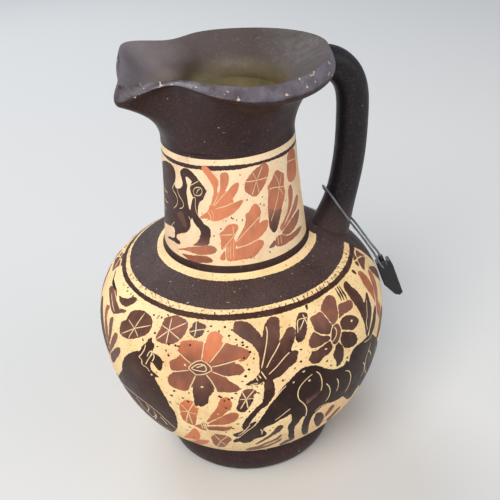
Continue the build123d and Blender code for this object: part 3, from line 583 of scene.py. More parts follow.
# Cracks across the outer cream line, each by its two ends.
CRACKS = pairs(
    262, 310.5, 264, 316.5, 266, 309.5, 268, 315.5, 292, 298.5, 295.5, 304.5, 297, 298, 300.5, 303,
    311.5, 291, 313.5, 295, 323, 284.5, 325, 289.5, 327, 281, 329.5, 285, 334, 274.5, 337.5, 276.5,
    341, 268.5, 345, 268, 150, 290, 153, 297, 155, 293, 156.5, 299, 272, 308.5, 273, 313, 279, 306,
    281.5, 309, 285, 303.5, 286, 307.5, 303, 295.5, 305.5, 300, 307, 293.5, 308.5, 297.5, 316, 288.5,
    318.5, 292.5, 319.5, 286.5, 321, 290, 331, 277.5, 333.5, 281, 337.5, 271.5, 341, 273, 344, 262,
    348, 262.5, 345.5, 257, 349.5, 257.5, 145, 293, 146.5, 297.5, 160.5, 297, 162, 300.5, 168, 300.5,
    169, 304, 243, 312.5, 244, 316.5, 229, 312.5, 229.5, 316, 215, 312, 214.5, 315.5)

# The far side, which the photo doesn't show, by azimuth in degrees and rise up the wall in millimetres.
FAR_SHAPES = {
    "goat_hind": (BLACK, BLACK, pairs(
        298, 82, 306, 84, 312, 82.5, 316.5, 77.5, 320.5, 71, 323.5, 63, 324, 55, 325.5, 47, 328, 39,
        328.5, 31, 332, 28, 331.5, 26, 325, 26, 324.5, 31, 323.5, 39, 320, 46, 316.5, 50.5, 315.5, 45,
        317, 37, 317.5, 31, 320.5, 28, 320, 26, 313.5, 26, 313.5, 32, 312, 41, 309.5, 49, 303, 54,
        296, 57)),
    "limb_leaf_1": (DARK, DARK, pairs(
        193, 75, 191, 82, 186, 91, 179, 98, 175.5, 96.5, 177, 89, 182, 81, 188, 74.5)),
    "corner_leaf_5": (UMBER, BROWN, pairs(
        333.5, 106, 337, 104, 341, 99, 343.5, 92, 343.5, 87, 340, 90, 336, 96, 333.5, 102)),
    "side_leaf_3": (UMBER, DARK, pairs(
        318.5, 72, 320, 77, 323.5, 82, 328, 84.5, 330.5, 83, 329.5, 79, 326, 75, 322, 72)),
    "beast_tail": (LINE, LINE, pairs(
        197, 62, 188, 57, 180, 50, 174, 42, 173, 37, 178, 37.5, 185, 41, 193, 44, 204, 46)),
    "beast_leg_1": (LINE, LINE, pairs(
        197.5, 43, 202, 40, 201.5, 30, 201.5, 22, 206, 19, 205.5, 17, 198.5, 17, 198.8, 24, 198.5, 33)),
    "beast_leg_2": (LINE, LINE, pairs(
        207, 37, 211, 35, 210.5, 27, 210.5, 21.5, 214.5, 19, 214, 17, 207.5, 17, 207.8, 23, 207.3, 30)),
}
FAR_CUTS = {
    "beast_tail_1": pairs(198, 57, 188, 50.5, 178.5, 41),
    "beast_tail_2": pairs(200, 52, 191, 47.5, 183, 42),
    "beast_wing": pairs(208, 47, 200, 50, 195, 57),
    "goat_thigh": pairs(313, 77, 309, 70, 309.5, 62, 313, 55),
    "goat_hock": pairs(319, 68, 319.5, 60, 321.5, 52),
}
NECK_FAR_CUTS = {
    "bird_feather_1": pairs(168, 35, 175, 32, 183, 30.5, 190, 31),
    "bird_feather_2": pairs(166.5, 29, 174, 26.5, 183, 25, 190, 25.5),
    "bird_feather_3": pairs(167, 23.5, 175, 21, 184, 20),
}
# Motifs set once more into the gaps: how their names begin, the turn in degrees and the rise in millimetres.
FILLS = (
    ("red_", -77.4, 4.0),
    ("low_disc", -92.2, -29.8),
    ("small_disc", -62.3, -49.6),
    ("foot_disc", -77.6, -16.0),
    ("orange_leaf_1", -43.0, -16.0),
    ("red_", 102.6, -34.0),
    ("disc_1", 127.1, -32.0),
    ("disc_2", 110.2, -57.0),
    ("orange_leaf_1", -217.0, -16.0),
)

# Unrolled walls: a turn about the axis becomes a length at this radius, in millimetres.
UNROLL = 60.0
FULL_TURN = 2 * math.pi * UNROLL
# The wall's profile is taken from the CAD along this azimuth, from outside.
PROFILE_AZIMUTH = math.radians(-103)
PROFILE_STEPS = 240
PROFILE_INSET = 0.00002
CAST_RADIUS = 0.2
# The photo column of the axis; and the way on past the outline, in pixels and in millimetres per pixel.
AXIS_COLUMN = 231.0
LIMB_STEP = 0.5
LIMB_STRETCH = 1.3


def turned(degrees):
    """A turn about the axis as a length on the unrolled wall."""
    return math.radians(degrees) * UNROLL


class Wall:
    """The outer face of a turned wall: its profile, and photo points laid out on it."""

    def __init__(self, node, low, high):
        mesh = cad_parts[node].data
        self.tree = BVHTree.FromPolygons(
            [vertex.co for vertex in mesh.vertices], [polygon.vertices for polygon in mesh.polygons])
        out = Vector((math.cos(PROFILE_AZIMUTH), math.sin(PROFILE_AZIMUTH), 0))
        self.heights = np.linspace(low + PROFILE_INSET, high - PROFILE_INSET, PROFILE_STEPS)
        self.radii = np.array([
            self.tree.ray_cast(out * CAST_RADIUS + Vector((0, 0, z)), -out)[0].xy.length
            for z in self.heights])
        self.heights[0] = low
        self.heights[-1] = high
        steps = np.hypot(np.diff(self.heights), np.diff(self.radii))
        self.rises = np.concatenate(([0], np.cumsum(steps))) / MM
        self.top = self.rises[-1]

    def rise(self, z):
        """The way up the wall, in millimetres, to a height in metres."""
        return float(np.interp(z, self.heights, self.rises))

    def row(self, y):
        """The way up the wall to a photo row, in the column of the axis."""
        return self.land((AXIS_COLUMN, y))[1]

    def cast(self, x, y):
        """Where the camera's ray through a photo point meets the wall, or None."""
        across = (x - PHOTO_SIDE / 2) / (PHOTO_SIDE * LENS / SENSOR)
        above = (PHOTO_SIDE / 2 - y) / (PHOTO_SIDE * LENS / SENSOR)
        return self.tree.ray_cast(EYE, (LOOK + RIGHT * across + UP * above).normalized())[0]

    def land(self, point):
        """A photo point as (turn, rise) on the unrolled wall; one past the limb goes on round it."""
        x, y = point
        inward = LIMB_STEP if x < AXIS_COLUMN else -LIMB_STEP
        past = 0.0
        hit = self.cast(x, y)
        while hit is None and abs(x - AXIS_COLUMN) > LIMB_STEP:
            x += inward
            past += LIMB_STEP
            hit = self.cast(x, y)
        turn = math.atan2(hit.y, hit.x) % (2 * math.pi) * UNROLL
        return turn - math.copysign(past * LIMB_STRETCH, inward), self.rise(hit.z)

    def place(self, turns, rises, sink):
        """Points on the wall in metres, each set in by its own depth."""
        angles = turns / UNROLL
        radii = np.interp(rises, self.rises, self.radii) - sink
        heights = np.interp(rises, self.rises, self.heights)
        return np.column_stack((radii * np.cos(angles), radii * np.sin(angles), heights))


def through(points, closed, steps=4):
    """A smooth (Catmull-Rom) line through points; each stretch has the given number of steps."""
    points = [np.array(point, float) for point in points]
    count = len(points)
    line = []
    for i in range(count if closed else count - 1):
        if closed:
            a, b, c, d = (points[(i + k) % count] for k in (-1, 0, 1, 2))
        else:
            a, b, c, d = (points[min(max(i + k, 0), count - 1)] for k in (-1, 0, 1, 2))
        for k in range(steps):
            t = k / steps
            line.append(0.5 * (2 * b + (c - a) * t + (2 * a - 5 * b + 4 * c - d) * t**2
                               + (3 * b - a - 3 * c + d) * t**3))
    if not closed:
        line.append(points[-1])
    return line


# How far a painted edge strays, in millimetres, and its waves: share of the straying and turn per point.
STRAY = 0.13
STRAY_WAVES = ((0.6, 2.6), (0.7, 1.7), (0.7, 0.61))


def ragged(line):
    """A painted outline with the unevenness of slip that was scraped along its edge."""
    uneven = []
    for i, (x, y) in enumerate(line):
        before, after = line[i - 1], line[(i + 1) % len(line)]
        along = math.hypot(after[0] - before[0], after[1] - before[1]) or 1.0
        push = STRAY * sum(share * math.sin(turn * i) for share, turn in STRAY_WAVES) / along
        uneven.append((x + push * (after[1] - before[1]), y - push * (after[0] - before[0])))
    return uneven


# What a face of a painted wall shows; also its material's place on the piece.
GROUND, SLIP, CUT, SHOULDER, RAW, GLOSS = range(6)
# Incised lines: width in millimetres, depth in metres, and the width that is left at their ends.
CUT_WIDTH = 0.46
CUT_DEPTH = 0.00009
CUT_TAPER = 0.45
# The mesh of a wall: spacing of its free points in millimetres, and how closely points count as one.
GRID = 2.2
SEAM_DIGITS = 3
CDT_TOLERANCE = 1e-4
# Dabs: radius in millimetres, then how it varies and how long they grow.
SPECK_R = 0.42
SPECK_SIDES = 7
SPECK_LEAST, SPECK_SPREAD, SPECK_LENGTH = 0.55, 0.6, 0.9
GOLDEN_SHARE = 0.618034
# Waves of a ring's edge: how many go round, their share of the waver, and their lag per millimetre of rise.
BAND_STEPS = 720
BAND_WAVES = ((3, 1.0, 1), (7, 0.6, 2), (17, 0.35, 5), (71, 0.3, 3), (157, 0.35, 7))


class Skin:
    """The paint on a wall, laid on in order, then meshed as one skin of triangles."""

    def __init__(self, wall):
        self.wall = wall
        self.points = []
        self.edges = []
        self.tiles = []
        self.areas = []
        self.sunk = set()

    def add(self, outline, kind, top=0.0, foot=0.0, tile=False):
        """One more painted area, on top of those before it; a tile is a small convex one."""
        first = len(self.points)
        outline = np.array(outline, float)
        ring = list(range(first, first + len(outline)))
        ahead = np.roll(outline, -1, axis=0)
        if tile:
            area = np.sum(outline[:, 0] * ahead[:, 1] - ahead[:, 0] * outline[:, 1])
            self.tiles.append((ring if area > 0 else ring[::-1], len(self.areas)))
        else:
            self.edges += zip(ring, ring[1:] + ring[:1])
        self.points += [tuple(point) for point in outline.tolist()]
        self.areas.append((outline, kind, top, foot, tile))

    def laid(self, points, closed, turn, lift):
        """A smooth line through photo points, turned about the axis and raised."""
        line = through([self.wall.land(point) for point in points], closed)
        return [(p[0] + turn, p[1] + lift) for p in line]

    def far(self, points, closed, turn):
        """A smooth line through points by azimuth in degrees and rise, turned about the axis."""
        return through([(turned(azimuth) + turn, rise) for azimuth, rise in points], closed)

    def cut(self, line):
        """An incised line, set a little into the wall: two rows of tiles with a sunk line between them."""
        last = len(line) - 1
        rails = []
        for i, (x, y) in enumerate(line):
            before, after = line[max(i - 1, 0)], line[min(i + 1, last)]
            along = math.hypot(after[0] - before[0], after[1] - before[1]) or 1.0
            half = CUT_WIDTH / 2 * (CUT_TAPER if i in (0, last) else 1.0)
            side = ((before[1] - after[1]) / along * half, (after[0] - before[0]) / along * half)
            rails.append(((x + side[0], y + side[1]), (x, y), (x - side[0], y - side[1])))
        for a, b in zip(rails, rails[1:]):
            for k in (0, 1):
                first = len(self.points)
                self.add((a[k], a[k + 1], b[k + 1], b[k]), CUT, tile=True)
                self.sunk.update((first + 1 - k, first + 2 + k))

    def speck(self, point, kind, tone=0.0, turn=0.0, size=1.0):
        """A small dab at a photo point; its size, length and lie follow from the areas before it."""
        x, y = self.wall.land(point)
        share = len(self.areas) * GOLDEN_SHARE % 1.0
        lie = 2 * math.pi * share
        half = SPECK_R * size * (SPECK_LEAST + SPECK_SPREAD * share)
        longer = half * (1.0 + SPECK_LENGTH * (1.0 - share))
        corners = []
        for i in range(SPECK_SIDES):
            a = 2 * math.pi * i / SPECK_SIDES
            u, v = longer * math.cos(a), half * math.sin(a)
            corners.append((
                x + turn + u * math.cos(lie) - v * math.sin(lie),
                y + u * math.sin(lie) + v * math.cos(lie)))
        self.add(corners, kind, tone, tone, tile=True)

    def band(self, low, high, kind, wobble=0.0, tone=0.0):
        """A ring round the jug between two rises, with the slight waver of a brush."""
        turns = np.linspace(0, FULL_TURN, BAND_STEPS + 1)

        def edge(rise):
            angles = turns / UNROLL
            return rise + wobble * sum(
                share * np.sin(waves * angles + rise * lag) for waves, share, lag in BAND_WAVES)

        loop = list(zip(turns, edge(low))) + list(zip(turns[::-1], edge(high)[::-1]))
        self.add(loop, kind, tone, tone)

    def owners(self, spots):
        """The last area laid on at each spot, by number, or -1 on bare ground; tiles are left out."""
        owners = np.full(len(spots), -1)
        for number, (outline, _, _, _, tile) in enumerate(self.areas):
            if tile:
                continue
            boxed = (spots >= outline.min(axis=0)) & (spots <= outline.max(axis=0))
            near = np.flatnonzero(np.all(boxed, axis=1))
            x, y = spots[near, 0], spots[near, 1]
            winding = np.zeros(len(near), int)
            for a, b in zip(outline, np.roll(outline, -1, axis=0)):
                side = (b[0] - a[0]) * (y - a[1]) - (x - a[0]) * (b[1] - a[1])
                winding += ((a[1] <= y) & (b[1] > y) & (side > 0)).astype(int)
                winding -= ((a[1] > y) & (b[1] <= y) & (side < 0)).astype(int)
            owners[near[winding != 0]] = number
        return owners

    def mesh(self):
        """Corner places, triangles, their kinds and the tone of each corner of each triangle."""
        wall = self.wall
        rows = max(2, round(wall.top / GRID))
        columns = round(FULL_TURN / GRID)
        points = [Vector(point) for point in self.points]
        for row in range(rows + 1):
            shift = 0.5 if row % 2 else 0.0
            rise = row * wall.top / rows
            points += [Vector(((i + shift) * FULL_TURN / columns, rise)) for i in range(1, columns - 1)]
            points += [Vector((0, rise)), Vector((FULL_TURN, rise))]
        flat, _, faces, from_points, _, from_tiles = delaunay_2d_cdt(
            points, self.edges, [ring for ring, _ in self.tiles], 0, CDT_TOLERANCE, True)
        flat = np.array([tuple(point) for point in flat])
        faces = np.array([tuple(face) for face in faces])
        owners = self.owners(flat[faces].mean(axis=1))
        for i, tiles in enumerate(from_tiles):
            if tiles:
                owners[i] = max(owners[i], *(self.tiles[k][1] for k in tiles))
        triangles, kinds, tones = faces.tolist(), [], []
        for face, owner in zip(triangles, owners):
            outline, kind, top, foot, _ = self.areas[owner] if owner >= 0 else (None, GROUND, 0.0, 0.0, False)
            kinds.append(kind)
            if owner < 0 or top == foot:
                tones.append([top] * len(face))
                continue
            high, low = outline[:, 1].max(), outline[:, 1].min()
            tones.append([top + (foot - top) * (high - flat[i][1]) / (high - low) for i in face])
        sink = [CUT_DEPTH if any(i in self.sunk for i in sources) else 0.0 for sources in from_points]
        places = wall.place(flat[:, 0], flat[:, 1], np.array(sink))

        def level(i):
            return round(float(flat[i][1]), SEAM_DIGITS)

        seam = {level(i): i for i in np.flatnonzero(flat[:, 0] < CDT_TOLERANCE)}
        same = {}
        for i in np.flatnonzero(flat[:, 0] > FULL_TURN - CDT_TOLERANCE):
            same[int(i)] = seam.get(level(i), int(i))
        triangles = [[same.get(i, i) for i in face] for face in triangles]
        return places, triangles, kinds, tones


# Most of the noise lies in this span; a tone has the whole span; the fine relief has one strength.
NOISE_SPAN = (0.3, 0.7)
WHOLE_SPAN = (0.0, 1.0)
GRAIN_STRENGTH = 0.5


class Look:
    """A procedural material, built up node by node."""

    def __init__(self, name):
        self.material = bpy.data.materials.new(name)
        self.material.use_nodes = True
        self.nodes = self.material.node_tree.nodes
        self.links = self.material.node_tree.links
        self.shader = self.nodes["Principled BSDF"]
        self.place = self.nodes.new("ShaderNodeTexCoord").outputs["Object"]

    def put(self, socket, value):
        """Links a node's output to a socket, or sets a plain value on it."""
        if isinstance(value, bpy.types.NodeSocket):
            self.links.new(value, socket)
        elif isinstance(value, tuple):
            socket.default_value = (*value, 1.0)
        else:
            socket.default_value = value

    def set(self, name, value):
        """Sets an input of the surface."""
        self.put(self.shader.inputs[name], value)

    def noise(self, scale, detail=3.0, roughness=0.55, stretch=None):
        """Soft noise over the piece, stretched along its axes where that is asked for."""
        node = self.nodes.new("ShaderNodeTexNoise")
        node.inputs["Scale"].default_value = scale
        node.inputs["Detail"].default_value = detail
        node.inputs["Roughness"].default_value = roughness
        place = self.place
        if stretch:
            scaled = self.nodes.new("ShaderNodeMapping")
            scaled.inputs["Scale"].default_value = stretch
            self.links.new(place, scaled.inputs["Vector"])
            place = scaled.outputs["Vector"]
        self.links.new(place, node.inputs["Vector"])
        return node.outputs["Fac"]

    def range(self, value, span, to=WHOLE_SPAN):
        """A value brought from one span to another, and held to it."""
        node = self.nodes.new("ShaderNodeMapRange")
        self.put(node.inputs["Value"], value)
        for name, number in zip(("From Min", "From Max", "To Min", "To Max"), (*span, *to)):
            node.inputs[name].default_value = number
        return node.outputs["Result"]

    def mix(self, share, first, second):
        """Two colours mixed by a share."""
        node = self.nodes.new("ShaderNodeMix")
        node.data_type = "RGBA"
        self.put(node.inputs[0], share)
        self.put(node.inputs[6], first)
        self.put(node.inputs[7], second)
        return node.outputs[2]

    def lay(self, under, over, value, span, share=1.0):
        """A colour laid over another, up to a share, as a value goes along a span."""
        return self.mix(self.range(value, span, to=(0.0, share)), under, over)

    def cloud(self, under, over, scale, span=NOISE_SPAN, share=1.0, **noise):
        """A colour laid over another, up to a share, as soft noise goes along a span."""
        return self.lay(under, over, self.noise(scale, **noise), span, share)

    def sum(self, first, second):
        """Two values added."""
        node = self.nodes.new("ShaderNodeMath")
        node.operation = "ADD"
        self.put(node.inputs[0], first)
        self.put(node.inputs[1], second)
        return node.outputs["Value"]

    def ramp(self, value, stops):
        """Colours along a value, as (position, colour) stops."""
        node = self.nodes.new("ShaderNodeValToRGB")
        elements = node.color_ramp.elements
        while len(elements) < len(stops):
            elements.new(1.0)
        for element, (position, colour) in zip(elements, stops):
            element.position = position
            element.color = (*colour, 1.0)
        self.put(node.inputs["Fac"], value)
        return node.outputs["Color"]

    def axis(self, name):
        """The place along one axis, in metres."""
        node = self.nodes.new("ShaderNodeSeparateXYZ")
        self.links.new(self.place, node.inputs["Vector"])
        return node.outputs[name]

    def tone(self):
        """The tone that the piece holds at each corner."""
        node = self.nodes.new("ShaderNodeAttribute")
        node.attribute_name = "tone"
        return node.outputs["Fac"]

    def finish(self, colour, shine, rough, rough_scale, grain, grain_scale, grain_detail=4.0, **rough_noise):
        """Sets colour, shine, a roughness between two values and the relief's depth; returns the material."""
        self.set("Base Color", colour)
        self.set("Specular IOR Level", shine)
        roughness = self.noise(rough_scale, **rough_noise)
        self.set("Roughness", self.range(roughness, NOISE_SPAN, to=rough))
        node = self.nodes.new("ShaderNodeBump")
        node.inputs["Distance"].default_value = grain
        node.inputs["Strength"].default_value = GRAIN_STRENGTH
        self.links.new(self.noise(grain_scale, grain_detail), node.inputs["Height"])
        self.set("Normal", node.outputs["Normal"])
        return self.material


# Clay ground: the belly's cream, the neck's paler one, and the heights between which it changes.
CREAM = (0.84, 0.57, 0.26)
CREAM_PALE = (0.92, 0.69, 0.37)
CREAM_PINK = (0.80, 0.48, 0.27)
CREAM_FILM = (0.42, 0.25, 0.13)
NECK_PALE = (0.93, 0.74, 0.47)
NECK_PINK = (0.86, 0.60, 0.38)
NECK_CREAM_HEIGHTS = (0.126, 0.136)
GRIME = (0.15, 0.08, 0.045)
# How much rarer the neck's specks are, and how many more scuffs the cream line has, as levels of noise.
NECK_CLEANER = -0.035
LINE_SCUFFS = 0.145
# Painted slip by tone, its tint on the neck, haze and chips.
SLIP_STOPS = (
    (0.0, (0.023, 0.0085, 0.006)), (0.2, (0.048, 0.019, 0.012)), (0.4, (0.107, 0.045, 0.031)),
    (0.55, (0.188, 0.076, 0.050)), (0.75, (0.36, 0.113, 0.055)), (0.95, (0.66, 0.190, 0.070)),
)
NECK_BLUSH = (0.80, 0.42, 0.29)
NECK_HAZE = (0.47, 0.27, 0.25)
SLIP_HAZE = (0.30, 0.19, 0.15)
CHIP = (0.72, 0.54, 0.36)
BRUSH_STRETCH = (1.0, 1.0, 0.25)
# Incised lines.
CUT_PALE = (0.84, 0.64, 0.36)
CUT_SHADE = (0.62, 0.43, 0.24)
CUT_ROUGHNESS = 0.7
# The shoulder, and the heights between which the handle's root passes from its matt brown to black.
SHOULDER_DARK = (0.046, 0.026, 0.0225)
SHOULDER_PALE = (0.070, 0.042, 0.037)
SHOULDER_DUST = (0.17, 0.13, 0.118)
SHOULDER_FLECK = (0.45, 0.40, 0.36)
ROOT_HEIGHTS = (0.118, 0.142)
# Black slip of lip, foot and handle: dark and pale colour, and the level of noise where it is chipped.
GLOSS_BLACK = ((0.021, 0.0078, 0.0082), (0.039, 0.0155, 0.015), 0.735)
HANDLE_BLACK = ((0.006, 0.0034, 0.005), (0.013, 0.0085, 0.011), 0.79)
GLOSS_DUST = (0.13, 0.105, 0.10)
GLOSS_CHIP = (0.58, 0.46, 0.37)
CHIP_EDGE = 0.02
# The lip's dust with a painted bluish sheen, on its upward faces; the painted sheen thins out across the jug
# towards -X; and its own chips.
LIP_DUST_AND_SHEEN = (0.172, 0.156, 0.186)
LIP_SHEEN_SPAN = (-0.03, 0.045)
LIP_CHIPS = 0.085
# The inside: olive clay below, slip at the mouth from its side with painted light to its side with painted
# shade, the spout's painted sheen and the worn rim.
DEEP_DARK = (0.215, 0.178, 0.068)
DEEP_PALE = (0.36, 0.30, 0.118)
MOUTH_HEIGHTS = (0.184, 0.214)
MOUTH_SPAN = (-0.022, 0.026)
MOUTH_LIT = (0.145, 0.114, 0.114)
MOUTH_SHADED = (0.052, 0.034, 0.025)
MOUTH_CLOUD = (0.070, 0.053, 0.050)
MOUTH_WEAR = (0.20, 0.17, 0.155)
SPOUT_SPAN = (-0.046, -0.016)
SPOUT_SHEEN = (0.160, 0.142, 0.164)
# Plastic of the seal and its cord: dark and pale colour, and the least roughness.
SEAL_BLACK = ((0.005, 0.005, 0.006), (0.011, 0.011, 0.013), 0.3)
CORD_GREY = ((0.07, 0.075, 0.08), (0.19, 0.20, 0.21), 0.25)
PLASTIC_ROUGHER = 0.15
PLASTIC_SCUFF = (0.5, 0.5, 0.5)
SCUFF_STRETCH = (1.0, 0.3, 1.0)
# Shine of matt slip and clay, of the inside, of black slip and of plastic.
MATT = 0.17
INSIDE_SHINE = 0.22
SHEEN = 0.3
PLASTIC_SHINE = 0.5


def clay_look():
    """Cream clay ground with warm clouding, fine dark specks and scuffs, and a satin surface."""
    look = Look("clay")
    belly = look.cloud(CREAM_PALE, CREAM, scale=38.0, span=(0.35, 0.68))
    neck = look.cloud(NECK_PALE, NECK_PINK, scale=45.0, span=(0.35, 0.68))
    ground = look.lay(belly, neck, look.axis("Z"), NECK_CREAM_HEIGHTS)
    pink = look.cloud(ground, CREAM_PINK, scale=17.0, span=(0.5, 0.72), share=0.5, detail=2.0)
    worn = look.cloud(pink, CREAM_PINK, scale=260.0, span=(0.58, 0.75), share=0.45, detail=5.0)
    film = look.cloud(worn, CREAM_FILM, scale=75.0, span=(0.52, 0.74), share=0.30, detail=6.0, roughness=0.65)
    cleaner = look.range(look.axis("Z"), NECK_CREAM_HEIGHTS, to=(0.0, NECK_CLEANER))
    specks = look.sum(look.noise(scale=950.0, detail=2.0), cleaner)
    specked = look.lay(film, GRIME, specks, span=(0.637, 0.70), share=0.8)
    on_line = look.range(look.tone(), WHOLE_SPAN, to=(0.0, LINE_SCUFFS))
    scuffs = look.sum(look.noise(scale=560.0, detail=4.0, roughness=0.7), on_line)
    scuffed = look.lay(specked, GRIME, scuffs, span=(0.70, 0.76), share=0.85)
    return look.finish(scuffed, MATT, rough=(0.42, 0.58), rough_scale=300.0, grain=0.00008, grain_scale=700.0)


def slip_look():
    """Painted slip: its tone comes from the painting, with mottling, brush streaks and small chips."""
    look = Look("slip")
    tone = look.tone()
    mottling = look.range(look.noise(scale=120.0, detail=4.0), NOISE_SPAN, to=(-0.05, 0.07))
    streaks = look.range(look.noise(scale=330.0, stretch=BRUSH_STRETCH), span=(0.35, 0.7), to=(-0.03, 0.05))
    painted = look.ramp(look.sum(look.sum(tone, mottling), streaks), SLIP_STOPS)
    neck = look.range(look.axis("Z"), NECK_CREAM_HEIGHTS)
    blushed = look.lay(painted, NECK_BLUSH, look.sum(neck, tone), span=(1.5, 1.85), share=0.17)
    darkness = look.range(tone, WHOLE_SPAN, to=(1.0, 0.0))
    tinted = look.lay(blushed, NECK_HAZE, look.sum(neck, darkness), span=(1.15, 1.5), share=0.07)
    hazed = look.cloud(tinted, SLIP_HAZE, scale=60.0, span=(0.5, 0.75), share=0.08, detail=5.0)
    chipped = look.cloud(hazed, CHIP, scale=1100.0, span=(0.745, 0.78), share=0.8, detail=2.0)
    return look.finish(chipped, MATT, rough=(0.36, 0.52), rough_scale=240.0, grain=0.00008, grain_scale=600.0)


def cut_look():
    """Bare clay in the incised lines."""
    look = Look("incised")
    look.set("Base Color", look.cloud(CUT_PALE, CUT_SHADE, scale=400.0, span=(0.35, 0.7)))
    look.set("Roughness", CUT_ROUGHNESS)
    return look.material


def shoulder_look():
    """The matt black of the shoulder, with a fine pale speckle."""
    look = Look("shoulder_black")
    base = look.cloud(SHOULDER_DARK, SHOULDER_PALE, scale=70.0, detail=4.0)
    dusted = look.cloud(base, SHOULDER_DUST, scale=1500.0, span=(0.5, 0.75), share=0.45, detail=2.0)
    flecked = look.cloud(dusted, SHOULDER_FLECK, scale=620.0, span=(0.735, 0.775), share=0.7, detail=1.0)
    return look.finish(flecked, MATT, rough=(0.48, 0.62), rough_scale=300.0,
                       grain=0.0001, grain_scale=1200.0, grain_detail=3.0)


def gloss_look(name, dark, pale, chip_level, root=False):
    """Black slip on lip, handle and foot: a soft sheen, brush clouding, dust, a painted bluish sheen on the
    lip's upward faces, and small chips.
    """
    look = Look(name)
    base = look.cloud(dark, pale, scale=55.0, detail=5.0)
    lip = look.tone()
    soft = look.noise(scale=110.0, detail=6.0, roughness=0.65)
    clouds = look.range(soft, span=(0.35, 0.65), to=(-0.4, 0.2))
    # Painted sheen on the lip: less of its dust colour towards -X, more towards +X.
    sheen_across = look.range(look.axis("X"), LIP_SHEEN_SPAN, to=(-0.45, 0.0))
    dust_and_sheen = look.sum(look.sum(lip, clouds), sheen_across)
    pale_lip = look.lay(base, LIP_DUST_AND_SHEEN, dust_and_sheen, span=(0.2, 1.0), share=0.85)
    dusted = look.cloud(pale_lip, GLOSS_DUST, scale=900.0, span=(0.52, 0.78), share=0.3)
    on_lip = look.range(lip, WHOLE_SPAN, to=(0.0, LIP_CHIPS))
    chips = look.sum(look.noise(scale=420.0, detail=2.0), on_lip)
    colour = look.lay(dusted, GLOSS_CHIP, chips, span=(chip_level, chip_level + CHIP_EDGE), share=0.9)
    shine = SHEEN
    if root:
        matt = look.cloud(
            SHOULDER_PALE, SHOULDER_DUST, scale=1500.0, span=(0.45, 0.75), share=0.5, detail=2.0)
        colour = look.lay(matt, colour, look.axis("Z"), ROOT_HEIGHTS)
        shine = look.range(look.axis("Z"), ROOT_HEIGHTS, to=(MATT, SHEEN))
    return look.finish(colour, shine, rough=(0.36, 0.52), rough_scale=180.0, detail=4.0,
                       grain=0.00012, grain_scale=500.0, grain_detail=5.0)


def raw_look():
    """The inside: dark slip at the mouth with painted light on its -X side, painted shade on its +X side and
    a painted sheen in the spout, passing to olive clay below.
    """
    look = Look("inside_clay")
    deep = look.cloud(DEEP_DARK, DEEP_PALE, scale=90.0, detail=4.0)
    # Painted light on the -X side of the mouth, painted shade on its +X side, and a painted sheen in the
    # spout.
    sides = look.lay(MOUTH_LIT, MOUTH_SHADED, look.axis("X"), MOUTH_SPAN)
    rim = look.cloud(sides, MOUTH_CLOUD, scale=80.0, share=0.5, detail=4.0)
    spout = look.mix(look.range(look.axis("X"), SPOUT_SPAN, to=(0.75, 0.0)), rim, SPOUT_SHEEN)
    worn = look.cloud(spout, MOUTH_WEAR, scale=700.0, span=(0.56, 0.74), share=0.35, detail=4.0)
    colour = look.lay(deep, worn, look.axis("Z"), MOUTH_HEIGHTS)
    return look.finish(colour, INSIDE_SHINE, rough=(0.45, 0.62), rough_scale=200.0,
                       grain=0.00012, grain_scale=420.0)


def plastic_look(name, dark, pale, rough):
    """Moulded plastic with faint clouding and handling marks."""
    look = Look(name)
    base = look.cloud(dark, pale, scale=220.0)
    scuffed = look.cloud(base, PLASTIC_SCUFF, scale=1300.0, span=(0.66, 0.78), share=0.35,
                         detail=2.0, stretch=SCUFF_STRETCH)
    return look.finish(scuffed, PLASTIC_SHINE, rough=(rough, rough + PLASTIC_ROUGHER), rough_scale=500.0,
                       grain=0.00003, grain_scale=800.0, grain_detail=3.0)


MATERIALS = {
    GROUND: clay_look(), SLIP: slip_look(), CUT: cut_look(), SHOULDER: shoulder_look(), RAW: raw_look(),
    GLOSS: gloss_look("gloss_black", *GLOSS_BLACK),
}

# The back shows the front's figures once more, turned about the axis.
BACK_TURN = -turned(170)
# Edges of the painted rings, as photo rows in the column of the axis, and one as a height.
LINE_FOOT_ROW, LINE_TOP_ROW = 320.2, 314.6
SHOULDER_FOOT_ROW, SHOULDER_TOP_ROW = 309.3, 281.0
BASE_BAND_ROW = 273.5
NECK_BAND_HEIGHT = 0.1312
NECK_LINE_FOOT_ROW, NECK_LINE_TOP_ROW = 170.0, 166.0
NECK_CREAM_TOP_ROW = 159.3
RING_WOBBLE = 0.22
# The edge of the black panel under the handle: photo points in front, then azimuth and rise on the far side.
PANEL_EDGE = pairs(313, 233, 330, 237, 347, 243, 354, 247, 361, 250.5, 366, 254.3, 371, 259, 376, 264.7)
PANEL_TONGUE = pairs(346.5, 92, 348, 80, 349.5, 68, 352, 59.5, 356, 54.5, 360, 53)
NECK_PANEL_HALF = turned(24)
CRACK_LEAST, CRACK_SPREAD = 0.08, 0.5
SPECK_SIZE = 1.25
FLECK_SIZE = 1.3
# The top of the neck's painted skin, and how faces count as the wall's outer face or as sharp.
NECK_SKIN_TOP = 0.1866
WALL_TOLERANCE = 0.0004
BISECT_TOLERANCE = 1e-7
SHARP = math.radians(38)
# Where the lip's outer face lies, which takes dust and a painted sheen: heights, and how far its faces look
# up.
LIP_HEIGHTS = (0.2090, 0.2115)
LIP_FACING = (-0.25, 0.15)


def paint(skin, shapes, cuts, specks, turn=0.0, lift=0.0):
    """Lays the motifs and their incised lines on a wall, turned about the axis and raised."""
    for top, foot, points in shapes.values():
        skin.add(ragged(skin.laid(points, True, turn, lift)), SLIP, top, foot)
    for point in specks:
        skin.speck(point, SLIP, BLACK, turn, SPECK_SIZE)
    for points in cuts.values():
        skin.cut(skin.laid(points, False, turn, lift))


def paint_far(skin, shapes, cuts, turn):
    """Lays on what the photo doesn't show of the figures, turned about the axis."""
    for top, foot, points in shapes.values():
        skin.add(ragged(skin.far(points, True, turn)), SLIP, top, foot)
    for points in cuts.values():
        skin.cut(skin.far(points, False, turn))


